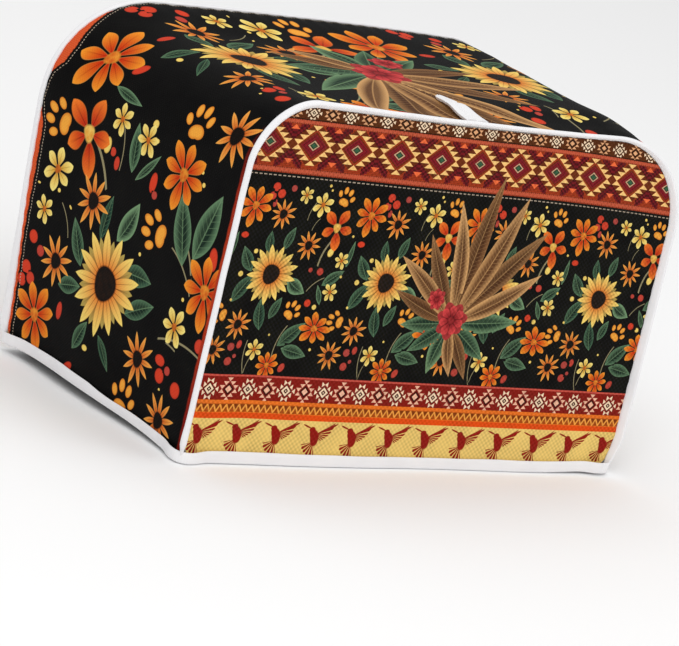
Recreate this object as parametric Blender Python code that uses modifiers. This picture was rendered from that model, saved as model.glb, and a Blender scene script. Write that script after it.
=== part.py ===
"""Fitted cloth cover with a rounded top: two flat panels, one wrap-round gusset and bound edges.

Metres, +Z up. The front panel faces -Y and the left end faces -X. The shape is worked out with
the hem at height 0, and one empty then lowers every piece, so that the origin lies in the middle
of the underside of the top, where the cover is held up.
"""
import math

import bmesh
import bpy
from mathutils import Matrix, Vector

# Overall sizes, measured over the bindings
LENGTH = 0.305
DEPTH = 0.190
HEIGHT = 0.203

# Cloth and tape
CLOTH_THICK = 0.0015
TAPE_THICK = 0.0010
GAP = 0.0003

# Top corner radii of the outer edge of each seam binding
CORNER_RADII = {
    "front": {"left": 0.040, "right": 0.055},
    "back": {"left": 0.060, "right": 0.040},
}

# Seam binding: a folded tape that stands out of each seam at 45 degrees
BINDING_THICK = 0.0032
BINDING_OUT = 0.0050
BINDING_ROOT = 0.0015
BINDING_ROUND = 0.0011
BINDING_SOFT = 0.0007
SEAM_SETBACK = 0.0020

# Hem binding: a folded tape round the lower edge, one leg outside and one inside
HEM_HEIGHT = 0.0080
HEM_CORNER_RADIUS = 0.0032
HEM_CORNER_TRIM = 0.0010
HEM_SOFT = 0.0006

# Hanging loop on the top, sewn into the front seam
LOOP_X = -0.0025
LOOP_LENGTH = 0.047
LOOP_TURN = math.radians(-7.0)
LOOP_THICK = 0.0014
LOOP_SLIT = 0.0006
LOOP_TIP_SHARE = 0.80
LOOP_SECTIONS = (
    {"along": 0.00, "half_width": 0.0080, "lift": 0.0000},
    {"along": 0.20, "half_width": 0.0079, "lift": 0.0006},
    {"along": 0.45, "half_width": 0.0073, "lift": 0.0020},
    {"along": 0.60, "half_width": 0.0069, "lift": 0.0018},
    {"along": 0.80, "half_width": 0.0062, "lift": 0.0005},
    {"along": 0.92, "half_width": 0.0050, "lift": 0.0001},
    {"along": 1.00, "half_width": 0.0024, "lift": 0.0000},
)

# How the made cover departs from an even shape
FLAT_TOP_HALF = (0.070, 0.050)
RIGHT_DROP = {"front": 0.0058, "back": 0.0042}
SEAM_ARCH = {"front": -0.0032, "back": 0.0021}
BACK_LEFT_FLARE = 0.0115
PANEL_CROWN = 0.0020
END_CROWN = 0.0022
CORNER_TUCK = {"in": 0.0040, "up": 0.0012, "height": 0.026}
LEFT_HEM_LIFT = {"middle": 0.0035, "back": 0.0030}
HEM_WAVE_HEIGHT = 0.045
HEM_WAVES = (
    {"end": "left", "swell": 0.0014, "waves": 1.6, "shift": 0.35},
    {"end": "right", "swell": 0.0010, "waves": 1.5, "shift": 0.10},
    {"end": "front", "swell": 0.0008, "waves": 2.0, "shift": 0.60},
    {"end": "back", "swell": 0.0012, "waves": 2.5, "shift": 0.20},
)

# Number of steps along each stretch
SIDE_STEPS = 8
SIDE_CROWDING = 1.5
ARC_STEPS = 8
TOP_STEPS = 12
DEPTH_STEPS = 12
PANEL_STEPS = 16
HEM_END_STEPS = 14
HEM_FRONT_STEPS = 20
HEM_CORNER_STEPS = 4

# Worked out from the sizes above
HALF_THICK = BINDING_THICK / 2
BINDING_REACH = (BINDING_OUT + HALF_THICK - BINDING_SOFT) / math.sqrt(2)
SEAM_Y = DEPTH / 2 - BINDING_REACH
WALL_FOOT = TAPE_THICK + GAP
TOP_OUTSIDE = HEIGHT - BINDING_REACH
TOP_INSIDE = TOP_OUTSIDE - CLOTH_THICK

PRINTED_CLOTH = {"colour": (0.035, 0.030, 0.032), "roughness": 0.85}
WHITE_TAPE = {"colour": (0.82, 0.82, 0.84), "roughness": 0.75}


def blend(start, end, share):
    """Value a share of the way from start to end."""
    return start + (end - start) * share


def ease(value):
    """Smooth step from 0 to 1."""
    clipped = min(1.0, max(0.0, value))
    return clipped * clipped * (3.0 - 2.0 * clipped)


def uneven(point):
    """Move a point of the even shape to where the cloth really lies."""
    x, y, z = point
    side = x / (LENGTH / 2)
    face = y / (DEPTH / 2)
    height = z / HEIGHT
    left = max(0.0, -side)
    right = max(0.0, side)
    front = max(0.0, -face)
    back = max(0.0, face)
    moved = Vector(point)

    # the cloth drops towards the right end, but lies flat where the cover is held up
    past_flat_x = ease((abs(x) - FLAT_TOP_HALF[0]) / (LENGTH / 2 - FLAT_TOP_HALF[0]))
    past_front = ease((-y - FLAT_TOP_HALF[1]) / (SEAM_Y - FLAT_TOP_HALF[1]))
    past_back = ease((y - FLAT_TOP_HALF[1]) / (SEAM_Y - FLAT_TOP_HALF[1]))
    held = (1.0 - past_flat_x) * (1.0 - past_front) * (1.0 - past_back)
    drop = blend(RIGHT_DROP["front"], RIGHT_DROP["back"], (face + 1.0) / 2.0)
    moved.z -= drop * side * height * (1.0 - held)

    # the front seam sags and the back seam rises along the top
    arch = SEAM_ARCH["front"] * past_front + SEAM_ARCH["back"] * past_back
    moved.z += arch * max(0.0, 1.0 - side * side) * height ** 2

    # the back left corner flares out towards the top
    moved.x -= BACK_LEFT_FLARE * left ** 2 * ease((face + 1.0) / 2.0) * height

    # panels and ends are slightly crowned between their seams
    upright = math.sin(math.pi * min(1.0, height))
    across = max(0.0, 1.0 - side * side)
    moved.y -= PANEL_CROWN * upright * across * front ** 2
    moved.y += PANEL_CROWN * upright * across * back ** 2
    depthwise = max(0.0, 1.0 - face * face)
    moved.x += END_CROWN * upright * depthwise * (right ** 4 - left ** 4)

    # the lower edge waves in and out
    low = ease(1.0 - z / HEM_WAVE_HEIGHT)
    for wave in HEM_WAVES:
        if wave["end"] in ("left", "right"):
            place = (face + 1.0) / 2.0
            inside = depthwise
        else:
            place = (side + 1.0) / 2.0
            inside = across
        phase = 2.0 * math.pi * (wave["waves"] * place + wave["shift"])
        swell = wave["swell"] * math.sin(phase) * low * min(1.0, 4.0 * inside)
        if wave["end"] == "left":
            moved.x -= swell * left ** 6
        elif wave["end"] == "right":
            moved.x += swell * right ** 6
        elif wave["end"] == "front":
            moved.y -= swell * front ** 6
        else:
            moved.y += swell * back ** 6

    # the hem rides up along the left end and at its back corner
    ride = LEFT_HEM_LIFT["middle"] * depthwise + LEFT_HEM_LIFT["back"] * ease((face + 1.0) / 2.0)
    moved.z += ride * left ** 2 * (1.0 - min(1.0, height)) ** 2

    # the front right lower corner is drawn in
    tuck = ease(1.0 - z / CORNER_TUCK["height"]) * ease((side - 0.60) / 0.32) * ease((0.4 - face) / 1.2)
    moved.x -= CORNER_TUCK["in"] * tuck
    moved.z += CORNER_TUCK["up"] * tuck
    return moved


def edge_points(panel_share, inset, trim):
    """Left side, top and right side of the outline, as lists of (x, z).

    panel_share runs from 0 at the front seam to 1 at the back seam. inset is measured in from the
    bindings' outer edge. trim holds the cloth back a little more inside the hem.
    """
    half = LENGTH / 2 - inset
    top = HEIGHT - inset
    radius = {}
    for side in ("left", "right"):
        outer = blend(CORNER_RADII["front"][side], CORNER_RADII["back"][side], panel_share)
        radius[side] = outer - inset
    trimmed_top = HEM_HEIGHT + GAP
    sides = {}
    for side, sign in (("left", -1.0), ("right", 1.0)):
        spring = top - radius[side]
        points = [(sign * (half - trim), WALL_FOOT), (sign * (half - trim), trimmed_top)]
        for step in range(SIDE_STEPS + 1):
            z = blend(trimmed_top + HEM_CORNER_TRIM, spring, (step / SIDE_STEPS) ** SIDE_CROWDING)
            points.append((sign * half, z))
        for step in range(1, ARC_STEPS + 1):
            angle = math.pi / 2 * step / ARC_STEPS
            x = half - radius[side] + radius[side] * math.cos(angle)
            z = spring + radius[side] * math.sin(angle)
            points.append((sign * x, z))
        sides[side] = points
    start, end = sides["left"][-1], sides["right"][-1]
    tops = []
    for step in range(1, TOP_STEPS):
        tops.append((blend(start[0], end[0], step / TOP_STEPS), top))
    return sides["left"], tops, sides["right"]


def material(name, finish):
    """Principled material with the piece's own plain colour."""
    made = bpy.data.materials.new(name)
    made.use_nodes = True
    shader = made.node_tree.nodes["Principled BSDF"]
    shader.inputs["Base Color"].default_value = (*finish["colour"], 1.0)
    shader.inputs["Roughness"].default_value = finish["roughness"]
    shader.inputs["Metallic"].default_value = 0.0
    return made


def add_piece(name, mesh, finish, collection, origin):
    """Object for one sewn piece, hung on the empty that sets the origin."""
    piece = bpy.data.objects.new(name, mesh)
    mesh.materials.append(material(name, finish))
    collection.objects.link(piece)
    piece.parent = origin
    return piece


def sheet(name, rows, thick, finish, collection, origin, skip=None):
    """Cloth from rows of points: a grid laid on them, then given its thickness.

    The grid's own faces point up, and the rows are listed so that this side is the outer one.
    skip takes a cell's row and column and says whether it is left out.
    """
    grid = bmesh.new()
    across, along = len(rows[0]), len(rows)
    bmesh.ops.create_grid(grid, x_segments=across - 1, y_segments=along - 1, size=0.5)
    grid.verts.ensure_lookup_table()
    for vert in grid.verts:
        column = round((vert.co.x + 0.5) * (across - 1))
        row = round((vert.co.y + 0.5) * (along - 1))
        vert.index = row * across + column
    unwanted = []
    for face in grid.faces:
        low = min(vert.index for vert in face.verts)
        if skip is not None and skip(low // across, low % across):
            unwanted.append(face)
    for vert in grid.verts:
        vert.co = rows[vert.index // across][vert.index % across]
    bmesh.ops.delete(grid, geom=unwanted, context="FACES")
    mesh = bpy.data.meshes.new(name)
    grid.to_mesh(mesh)
    grid.free()
    piece = add_piece(name, mesh, finish, collection, origin)
    thickness = piece.modifiers.new("cloth", "SOLIDIFY")
    thickness.thickness = thick
    thickness.offset = -1.0
    thickness.use_even_offset = True
    mesh.shade_smooth()
    mesh.set_sharp_from_angle(angle=math.radians(40))
    return piece


def flat_curve(name, points, closed):
    """Flat poly curve through points."""
    data = bpy.data.curves.new(name, "CURVE")
    data.dimensions = "2D"
    data.fill_mode = "NONE"
    spline = data.splines.new("POLY")
    spline.points.add(len(points) - 1)
    for vertex, (across, up) in zip(spline.points, points):
        vertex.co = (across, up, 0.0, 1.0)
    spline.use_cyclic_u = closed
    return data


def tape(name, path, profile, closed, placing, finish, collection, guides, origin):
    """Tape: a closed profile carried along a flat path, placed, then laid on the uneven cloth."""
    guide = bpy.data.objects.new(name + "_profile", flat_curve(name + "_profile", profile, True))
    guide.hide_render = True
    guide.display_type = "WIRE"
    guides.objects.link(guide)
    data = flat_curve(name + "_path", path, closed)
    data.bevel_mode = "OBJECT"
    data.bevel_object = guide
    data.use_fill_caps = not closed
    run = bpy.data.objects.new(name + "_path", data)
    guides.objects.link(run)
    bpy.context.view_layer.update()
    evaluated = run.evaluated_get(bpy.context.evaluated_depsgraph_get())
    mesh = bpy.data.meshes.new_from_object(evaluated)
    bpy.data.objects.remove(run)
    mesh.name = name
    shape = bmesh.new()
    shape.from_mesh(mesh)
    bmesh.ops.remove_doubles(shape, verts=shape.verts, dist=0.00001)
    for vert in shape.verts:
        vert.co = uneven(placing @ vert.co)
    bmesh.ops.recalc_face_normals(shape, faces=shape.faces)
    shape.to_mesh(mesh)
    shape.free()
    mesh.materials.clear()
    mesh.shade_smooth()
    mesh.set_sharp_from_angle(angle=math.radians(40))
    return add_piece(name, mesh, finish, collection, origin)


def make_panel(name, panel_share, outward, collection, origin):
    """Front or back panel: flat cloth with rounded top corners."""
    inset = BINDING_REACH + SEAM_SETBACK
    left, _, right = edge_points(panel_share, inset, HEM_CORNER_TRIM)
    rows = []
    for (left_x, left_z), (right_x, right_z) in zip(left, right):
        row = []
        for step in range(PANEL_STEPS + 1):
            share = step / PANEL_STEPS
            if outward > 0:
                share = 1.0 - share
            x, z = blend(left_x, right_x, share), blend(left_z, right_z, share)
            row.append(uneven((x, outward * SEAM_Y, z)))
        rows.append(row)
    return sheet(name, rows, CLOTH_THICK, PRINTED_CLOTH, collection, origin)


def make_gusset(collection, origin):
    """One strip up the left end, over the top and down the right end."""
    rows = []
    for step in range(DEPTH_STEPS + 1):
        share = step / DEPTH_STEPS
        left, top, right = edge_points(share, BINDING_REACH, 0.0)
        row = []
        for x, z in left + top + right[::-1]:
            half = SEAM_Y - SEAM_SETBACK
            if z < HEM_HEIGHT + 2 * GAP:
                half -= HEM_CORNER_TRIM
            row.append(uneven((x, blend(-half, half, share), z)))
        rows.append(row)
    return sheet("gusset", rows, CLOTH_THICK, PRINTED_CLOTH, collection, origin)


def binding_profile():
    """Rounded flat bar at 45 degrees, as (out from the outline, out from the panel)."""
    inner, outer = -BINDING_ROOT, BINDING_OUT
    corners = (
        (-(HALF_THICK - BINDING_SOFT), inner),
        (HALF_THICK - BINDING_SOFT, inner),
        (HALF_THICK, inner + BINDING_ROUND),
        (HALF_THICK, outer - BINDING_ROUND),
        (HALF_THICK - BINDING_SOFT, outer),
        (-(HALF_THICK - BINDING_SOFT), outer),
        (-HALF_THICK, outer - BINDING_ROUND),
        (-HALF_THICK, inner + BINDING_ROUND),
    )
    slant = math.sqrt(0.5)
    return [((along + across) * slant, (along - across) * slant) for across, along in corners]


def make_seam_binding(name, panel_share, outward, collection, guides, origin):
    """White tape folded over the seam between a panel and the gusset."""
    left, top, right = edge_points(panel_share, BINDING_REACH, 0.0)
    foot = HEM_HEIGHT + GAP
    left, right = left[2:], right[2:]
    left[0], right[0] = (left[0][0], foot), (right[0][0], foot)
    # drawn flat from its right foot to its left one, as seen from outside, then stood up
    path = right + top[::-1] + left[::-1]
    facing = 0.0
    if outward > 0:
        path = [(-x, z) for x, z in reversed(path)]
        facing = math.pi
    placing = Matrix.Rotation(facing, 4, "Z") @ Matrix.Translation((0.0, -SEAM_Y, 0.0))
    placing = placing @ Matrix.Rotation(math.pi / 2, 4, "X")
    return tape(name, path, binding_profile(), False, placing, WHITE_TAPE, collection, guides, origin)


def hem_path():
    """Rounded rectangle along the middle of the walls."""
    half_x = LENGTH / 2 - BINDING_REACH - CLOTH_THICK / 2
    half_y = SEAM_Y - CLOTH_THICK / 2
    radius = HEM_CORNER_RADIUS
    corners = ((1, -1, -90), (1, 1, 0), (-1, 1, 90), (-1, -1, 180))
    steps = (HEM_END_STEPS, HEM_FRONT_STEPS, HEM_END_STEPS, HEM_FRONT_STEPS)
    path = []
    for (sign_x, sign_y, start), straight in zip(corners, steps):
        centre = (sign_x * (half_x - radius), sign_y * (half_y - radius))
        for step in range(HEM_CORNER_STEPS + 1):
            angle = math.radians(start + 90.0 * step / HEM_CORNER_STEPS)
            path.append((centre[0] + radius * math.cos(angle), centre[1] + radius * math.sin(angle)))
        last = path[-1]
        turned = math.radians(start + 90.0)
        run = 2 * (half_y if straight == HEM_END_STEPS else half_x) - 2 * radius
        for step in range(1, straight):
            length = run * step / straight
            path.append((last[0] - length * math.sin(turned), last[1] + length * math.cos(turned)))
    return path


def hem_profile():
    """Upright channel: an outer leg, the fold under the cloth and an inner leg."""
    inside = CLOTH_THICK / 2 + GAP
    outside = inside + TAPE_THICK
    return [
        (-outside, HEM_HEIGHT), (-outside, HEM_SOFT), (-outside + HEM_SOFT, 0.0),
        (outside - HEM_SOFT, 0.0), (outside, HEM_SOFT), (outside, HEM_HEIGHT),
        (inside, HEM_HEIGHT), (inside, TAPE_THICK), (-inside, TAPE_THICK), (-inside, HEM_HEIGHT),
    ]


def make_hanging_loop(collection, origin):
    """Tape loop that lies on the top: two legs side by side, joined at the tip."""
    slit_share = LOOP_SLIT / 2 / LOOP_SECTIONS[0]["half_width"]
    columns = (-1.0, -0.5, -slit_share, slit_share, 0.5, 1.0)
    root_y = -SEAM_Y + SEAM_SETBACK + GAP
    base_z = TOP_OUTSIDE + GAP + LOOP_THICK
    rows = []
    for section in LOOP_SECTIONS:
        along = section["along"] * LOOP_LENGTH
        row = []
        for column in columns:
            across = column * section["half_width"]
            x = LOOP_X + across * math.cos(LOOP_TURN) - along * math.sin(LOOP_TURN)
            # the root is cut along the seam, and the loop is square to its own length at the tip
            y = root_y + along * math.cos(LOOP_TURN) + across * math.sin(LOOP_TURN) * section["along"]
            row.append(uneven((x, y, base_z + section["lift"])))
        rows.append(row)
    slit_column = columns.index(-slit_share)
    last_row = sum(1 for section in LOOP_SECTIONS if section["along"] < LOOP_TIP_SHARE)

    def in_slit(row, column):
        return column == slit_column and row < last_row

    return sheet("hang_loop", rows, LOOP_THICK, WHITE_TAPE, collection, origin, in_slit)


def main():
    for item in list(bpy.data.objects):
        bpy.data.objects.remove(item)
    collection = bpy.data.collections.new("fitted_cover")
    guides = bpy.data.collections.new("guides")
    for group in (collection, guides):
        bpy.context.scene.collection.children.link(group)
    origin = bpy.data.objects.new("held_at_top", None)
    origin.location = (0.0, 0.0, -TOP_INSIDE)
    collection.objects.link(origin)

    make_panel("front_panel", 0.0, -1.0, collection, origin)
    make_panel("back_panel", 1.0, 1.0, collection, origin)
    make_gusset(collection, origin)
    make_seam_binding("front_binding", 0.0, -1.0, collection, guides, origin)
    make_seam_binding("back_binding", 1.0, 1.0, collection, guides, origin)
    tape("hem_binding", hem_path(), hem_profile(), True, Matrix.Identity(4), WHITE_TAPE,
         collection, guides, origin)
    make_hanging_loop(collection, origin)


main()
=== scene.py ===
import math

import bpy
import numpy as np
from mathutils import Matrix, Vector


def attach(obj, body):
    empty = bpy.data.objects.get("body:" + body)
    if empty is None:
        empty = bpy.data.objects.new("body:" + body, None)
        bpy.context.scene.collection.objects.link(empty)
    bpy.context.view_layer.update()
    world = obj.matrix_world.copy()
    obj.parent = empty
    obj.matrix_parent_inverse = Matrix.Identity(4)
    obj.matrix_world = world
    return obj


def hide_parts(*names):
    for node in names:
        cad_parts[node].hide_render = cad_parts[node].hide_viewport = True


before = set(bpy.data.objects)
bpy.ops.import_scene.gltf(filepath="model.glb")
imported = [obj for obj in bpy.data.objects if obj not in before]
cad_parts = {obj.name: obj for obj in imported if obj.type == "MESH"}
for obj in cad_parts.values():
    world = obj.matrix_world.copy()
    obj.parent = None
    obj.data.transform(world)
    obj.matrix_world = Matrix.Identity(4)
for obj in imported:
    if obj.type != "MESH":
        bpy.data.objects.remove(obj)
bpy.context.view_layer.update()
print("solids loaded")

# the even shape, in metres, and how the cloth departs from it
cover = {
    "length": 0.305, "depth": 0.190, "height": 0.203, "cloth": 0.0015, "gap": 0.0003,
    "bindingThick": 0.0032, "bindingOut": 0.0050, "bindingSoft": 0.0007, "seamSetback": 0.0020,
    "hemHeight": 0.0080,
}
cornerRadii = {"front": (0.040, 0.055), "back": (0.060, 0.040)}
flatTopHalf = (0.070, 0.050)
rightDrop = {"front": 0.0058, "back": 0.0042}
seamArch = {"front": -0.0032, "back": 0.0021}
backLeftFlare = 0.0115
panelCrown = 0.0020
endCrown = 0.0022
# the front right foot is drawn in: how far, and where this starts and ends as shares of length and depth
cornerTuck = {
    "in": 0.0040, "up": 0.0012, "height": 0.026, "side": 0.60, "sideRun": 0.32, "face": 0.4, "faceRun": 1.2}
leftHemLift = {"middle": 0.0035, "back": 0.0043}
hemWaveHeight = 0.045
hemWaves = (
    {"end": "left", "swell": 0.0014, "waves": 1.6, "shift": 0.35},
    {"end": "right", "swell": 0.0010, "waves": 1.5, "shift": 0.10},
    {"end": "front", "swell": 0.0008, "waves": 2.0, "shift": 0.60},
    {"end": "back", "swell": 0.0012, "waves": 2.5, "shift": 0.20},
)
reach = (cover["bindingOut"] + cover["bindingThick"] / 2 - cover["bindingSoft"]) / math.sqrt(2)
seamY = cover["depth"] / 2 - reach
topInside = cover["height"] - reach - cover["cloth"]
hemLevel = -topInside


def mix(start, end, share):
    return start + (end - start) * share


def ease(value):
    clipped = np.clip(value, 0.0, 1.0)
    return clipped * clipped * (3.0 - 2.0 * clipped)


def laid(x, y, z):
    # the even shape's points, moved to where the cloth lies, in the part's own frame
    x, y, z = np.broadcast_arrays(x, y, z)
    side = x / (cover["length"] / 2)
    face = y / (cover["depth"] / 2)
    height = z / cover["height"]
    left, right = np.maximum(0.0, -side), np.maximum(0.0, side)
    front, back = np.maximum(0.0, -face), np.maximum(0.0, face)
    pastFlat = ease((np.abs(x) - flatTopHalf[0]) / (cover["length"] / 2 - flatTopHalf[0]))
    pastFront = ease((-y - flatTopHalf[1]) / (seamY - flatTopHalf[1]))
    pastBack = ease((y - flatTopHalf[1]) / (seamY - flatTopHalf[1]))
    held = (1.0 - pastFlat) * (1.0 - pastFront) * (1.0 - pastBack)
    newX, newY, newZ = x.copy(), y.copy(), z.copy()
    newZ -= mix(rightDrop["front"], rightDrop["back"], (face + 1.0) / 2.0) * side * height * (1.0 - held)
    arch = seamArch["front"] * pastFront + seamArch["back"] * pastBack
    across = np.maximum(0.0, 1.0 - side * side)
    depthwise = np.maximum(0.0, 1.0 - face * face)
    newZ += arch * across * height ** 2
    newX -= backLeftFlare * left ** 2 * ease((face + 1.0) / 2.0) * height
    upright = np.sin(np.pi * np.minimum(1.0, height))
    newY -= panelCrown * upright * across * front ** 2
    newY += panelCrown * upright * across * back ** 2
    newX += endCrown * upright * depthwise * (right ** 4 - left ** 4)
    low = ease(1.0 - z / hemWaveHeight)
    for wave in hemWaves:
        endwise = wave["end"] in ("left", "right")
        place = (face + 1.0) / 2.0 if endwise else (side + 1.0) / 2.0
        inside = depthwise if endwise else across
        swell = wave["swell"] * np.sin(2.0 * np.pi * (wave["waves"] * place + wave["shift"]))
        swell = swell * low * np.minimum(1.0, 4.0 * inside)
        if wave["end"] == "left":
            newX -= swell * left ** 6
        elif wave["end"] == "right":
            newX += swell * right ** 6
        elif wave["end"] == "front":
            newY -= swell * front ** 6
        else:
            newY += swell * back ** 6
    lift = leftHemLift["middle"] * depthwise + leftHemLift["back"] * ease((face + 1.0) / 2.0)
    newZ += lift * left ** 2 * (1.0 - np.minimum(1.0, height)) ** 2
    tuck = ease(1.0 - z / cornerTuck["height"]) * ease((side - cornerTuck["side"]) / cornerTuck["sideRun"])
    tuck = tuck * ease((cornerTuck["face"] - face) / cornerTuck["faceRun"])
    newX -= cornerTuck["in"] * tuck
    newZ += cornerTuck["up"] * tuck
    return np.stack([newX, newY, newZ + hemLevel], axis=-1)


def radiiAt(share, inset):
    return [mix(cornerRadii["front"][k], cornerRadii["back"][k], share) - inset for k in (0, 1)]


def outline(share, inset, foot, counts):
    # left side, arc, top, arc and right side, as x, z and the outward direction
    half, top = cover["length"] / 2 - inset, cover["height"] - inset
    leftRadius, rightRadius = radiiAt(share, inset)
    side, arc, flat = counts
    up = np.linspace(0.0, 1.0, side, endpoint=False)
    turn = np.linspace(0.0, np.pi / 2, arc, endpoint=False)
    along = np.linspace(0.0, 1.0, flat, endpoint=False)
    down = np.linspace(0.0, 1.0, side + 1)
    leftSpring, rightSpring = top - leftRadius, top - rightRadius
    x = np.concatenate([
        np.full(side, -half), -(half - leftRadius) - leftRadius * np.cos(turn),
        mix(-(half - leftRadius), half - rightRadius, along),
        half - rightRadius + rightRadius * np.sin(turn), np.full(side + 1, half)])
    z = np.concatenate([
        mix(foot, leftSpring, up), leftSpring + leftRadius * np.sin(turn), np.full(flat, top),
        rightSpring + rightRadius * np.cos(turn), mix(rightSpring, foot, down)])
    outX = np.concatenate([
        np.full(side, -1.0), -np.cos(turn), np.zeros(flat), np.sin(turn), np.ones(side + 1)])
    outZ = np.concatenate([
        np.zeros(side), np.sin(turn), np.ones(flat), np.cos(turn), np.zeros(side + 1)])
    return x, z, outX, outZ


# along the outline: 0 left foot, 1 and 2 ends of the left arc, 3 and 4 ends of the right arc, 5 right foot
# the table gives for such places how far the seam stands out, the tape's inner and outer edge and half
# its thickness, all in mm, and its lean in degrees
seamColumns = ("at", "lift", "inner", "outer", "thick", "lean")
seamTables = {
    "front": (
        (0.0, 0.0, -1.5, 5.0, 1.60, 45), (1.0, -0.4, -1.5, 5.0, 1.75, 42), (1.5, -1.9, -1.6, 5.0, 2.05, 42),
        (1.9, 0.3, -1.5, 4.2, 1.70, 45), (2.2, 1.8, -1.1, 2.7, 1.20, 45), (3.0, 2.2, -0.9, 2.4, 1.10, 45),
        (3.5, 1.2, -1.0, 3.2, 1.25, 45), (4.0, 0.7, -1.2, 4.1, 1.45, 45), (5.0, 0.2, -1.3, 4.6, 1.55, 45)),
    "back": (
        (0.0, 0.4, -1.0, 4.4, 1.35, 12), (0.3, 1.3, -1.0, 4.3, 1.30, 10), (0.45, 1.7, -1.0, 3.8, 1.25, 9),
        (0.6, 2.9, -1.0, 2.8, 1.20, 8), (0.75, 4.0, -1.0, 2.4, 1.15, 7), (1.0, 3.0, -1.0, 2.5, 1.10, 5),
        (1.5, 4.6, -1.0, 2.2, 1.10, 4), (2.0, 3.1, -1.0, 3.6, 1.20, 4), (2.4, 3.4, -1.0, 3.0, 1.10, -10),
        (2.8, 3.6, -1.0, 3.0, 1.00, -14), (3.0, 3.0, -1.0, 3.6, 1.10, -6), (4.0, 0.8, -1.0, 4.4, 1.30, 10),
        (5.0, 0.0, -1.0, 4.6, 1.35, 12)),
}
seamBlend = {"front": 0.026, "back": 0.050}


def stationsOf(counts):
    side, arc, flat = counts
    return np.concatenate([
        np.linspace(0, 1, side, endpoint=False), np.linspace(1, 2, arc, endpoint=False),
        np.linspace(2, 3, flat, endpoint=False), np.linspace(3, 4, arc, endpoint=False),
        np.linspace(4, 5, side + 1)])


def readTable(table, at, column=1):
    # straight lines between the rows of a small table, by its first column
    rows = np.array(table)
    return np.interp(at, rows[:, 0], rows[:, column])


def seamValue(edge, key, stations):
    # the table's column at the stations, with its bends rounded off
    near = np.clip(stations[:, None] + np.linspace(-0.18, 0.18, 9), 0.0, 5.0)
    return readTable(seamTables[edge], near, seamColumns.index(key)).mean(axis=1)


# the hem tape's height as a share of its full height, along the left end from the front to the back
leftHemShares = (
    (0.0, 0.84), (0.12, 0.80), (0.28, 0.78), (0.40, 0.68), (0.46, 0.72), (0.52, 0.86), (0.66, 0.93),
    (0.8, 0.88), (1.0, 0.90))
elsewhereHemShare = 0.88


def hemShare(x, y):
    alongEnd = readTable(leftHemShares, y / cover["depth"] + 0.5)
    return mix(elsewhereHemShare, alongEnd, ease((-x / (cover["length"] / 2) - 0.90) / 0.07))


def smoothed(values, width):
    return np.convolve(np.pad(values, width // 2, mode="edge"), np.ones(width) / width, mode="valid")


def signedPower(values, power):
    return np.sign(values) * np.abs(values) ** power


def softNoise(u, v, size, seed):
    # a few crossed sine waves of about one size, between -1 and 1
    rng = np.random.default_rng(seed)
    total = np.zeros(np.broadcast(u, v).shape)
    for _ in range(6):
        heading, phase = rng.uniform(0, 2 * np.pi), rng.uniform(0, 2 * np.pi)
        length = size * rng.uniform(0.7, 1.5)
        total += np.sin(2 * np.pi * (u * np.cos(heading) + v * np.sin(heading)) / length + phase)
    return total / 6.0


# meshes from grids
def gridFaces(rows, columns, start, flip, closed=False):
    row = np.arange(rows - 1)[:, None]
    column = np.arange(columns if closed else columns - 1)[None, :]
    after = (column + 1) % columns
    a, b = row * columns + column, row * columns + after
    c, d = (row + 1) * columns + after, (row + 1) * columns + column
    faces = np.stack([a, b, c, d], axis=-1).reshape(-1, 4)
    return start + (faces[:, ::-1] if flip else faces)


def meshFrom(name, points, faces, materials, materialIndex=None):
    mesh = bpy.data.meshes.new(name)
    mesh.vertices.add(len(points))
    mesh.vertices.foreach_set("co", np.ascontiguousarray(points, np.float32).ravel())
    mesh.loops.add(faces.size)
    mesh.loops.foreach_set("vertex_index", faces.astype(np.int32).ravel())
    mesh.polygons.add(len(faces))
    mesh.polygons.foreach_set("loop_start", np.arange(0, faces.size, 4, dtype=np.int32))
    if materialIndex is not None:
        mesh.polygons.foreach_set("material_index", materialIndex.astype(np.int32))
    mesh.update(calc_edges=True)
    mesh.validate()
    for item in materials:
        mesh.materials.append(item)
    mesh.polygons.foreach_set("use_smooth", np.ones(len(faces), bool))
    made = bpy.data.objects.new(name, mesh)
    bpy.context.scene.collection.objects.link(made)
    return made


def normalsOf(points):
    alongRows = np.gradient(points, axis=0)
    alongColumns = np.gradient(points, axis=1)
    normal = np.cross(alongColumns, alongRows)
    return normal / np.maximum(1e-12, np.linalg.norm(normal, axis=-1, keepdims=True))


def cornerField(mesh, name, values):
    # three numbers for each corner of a face; the third of a place on the cloth is 0
    if values.shape[-1] == 2:
        values = np.concatenate([values, np.zeros(values.shape[:2] + (1,))], axis=-1)
    field = mesh.attributes.new(name, "FLOAT_VECTOR", "CORNER")
    field.data.foreach_set("vector", np.ascontiguousarray(values, np.float32).ravel())


def clothSheet(name, points, place, thick, materials, motifs):
    # outer face, inner face one thickness behind it, and the cut edges between them
    rows, columns = points.shape[:2]
    inner = points - normalsOf(points) * thick
    both = np.concatenate([points.reshape(-1, 3), inner.reshape(-1, 3)])
    count = rows * columns
    outerFaces = gridFaces(rows, columns, 0, False)
    innerFaces = gridFaces(rows, columns, count, True)
    ring = np.concatenate([
        np.arange(columns), columns - 1 + columns * np.arange(1, rows),
        count - 2 - np.arange(columns - 1), columns * np.arange(rows - 2, -1, -1)])
    following = ring[1:]
    rim = np.stack([ring[:-1], ring[:-1] + count, following + count, following], axis=-1)
    faces = np.concatenate([outerFaces, innerFaces, rim])
    index = np.concatenate([np.zeros(len(outerFaces)), np.ones(len(innerFaces) + len(rim))])
    made = meshFrom(name, both, faces, materials, index)
    corners = np.concatenate([place.reshape(-1, 2), place.reshape(-1, 2)])[faces]
    cornerField(made.data, "clothPlace", corners)
    for layer, slots in motifs.items():
        cornerField(made.data, layer, motifPlaces(corners, slots))
    made.data.set_sharp_from_angle(angle=math.radians(50))
    return made


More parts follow.
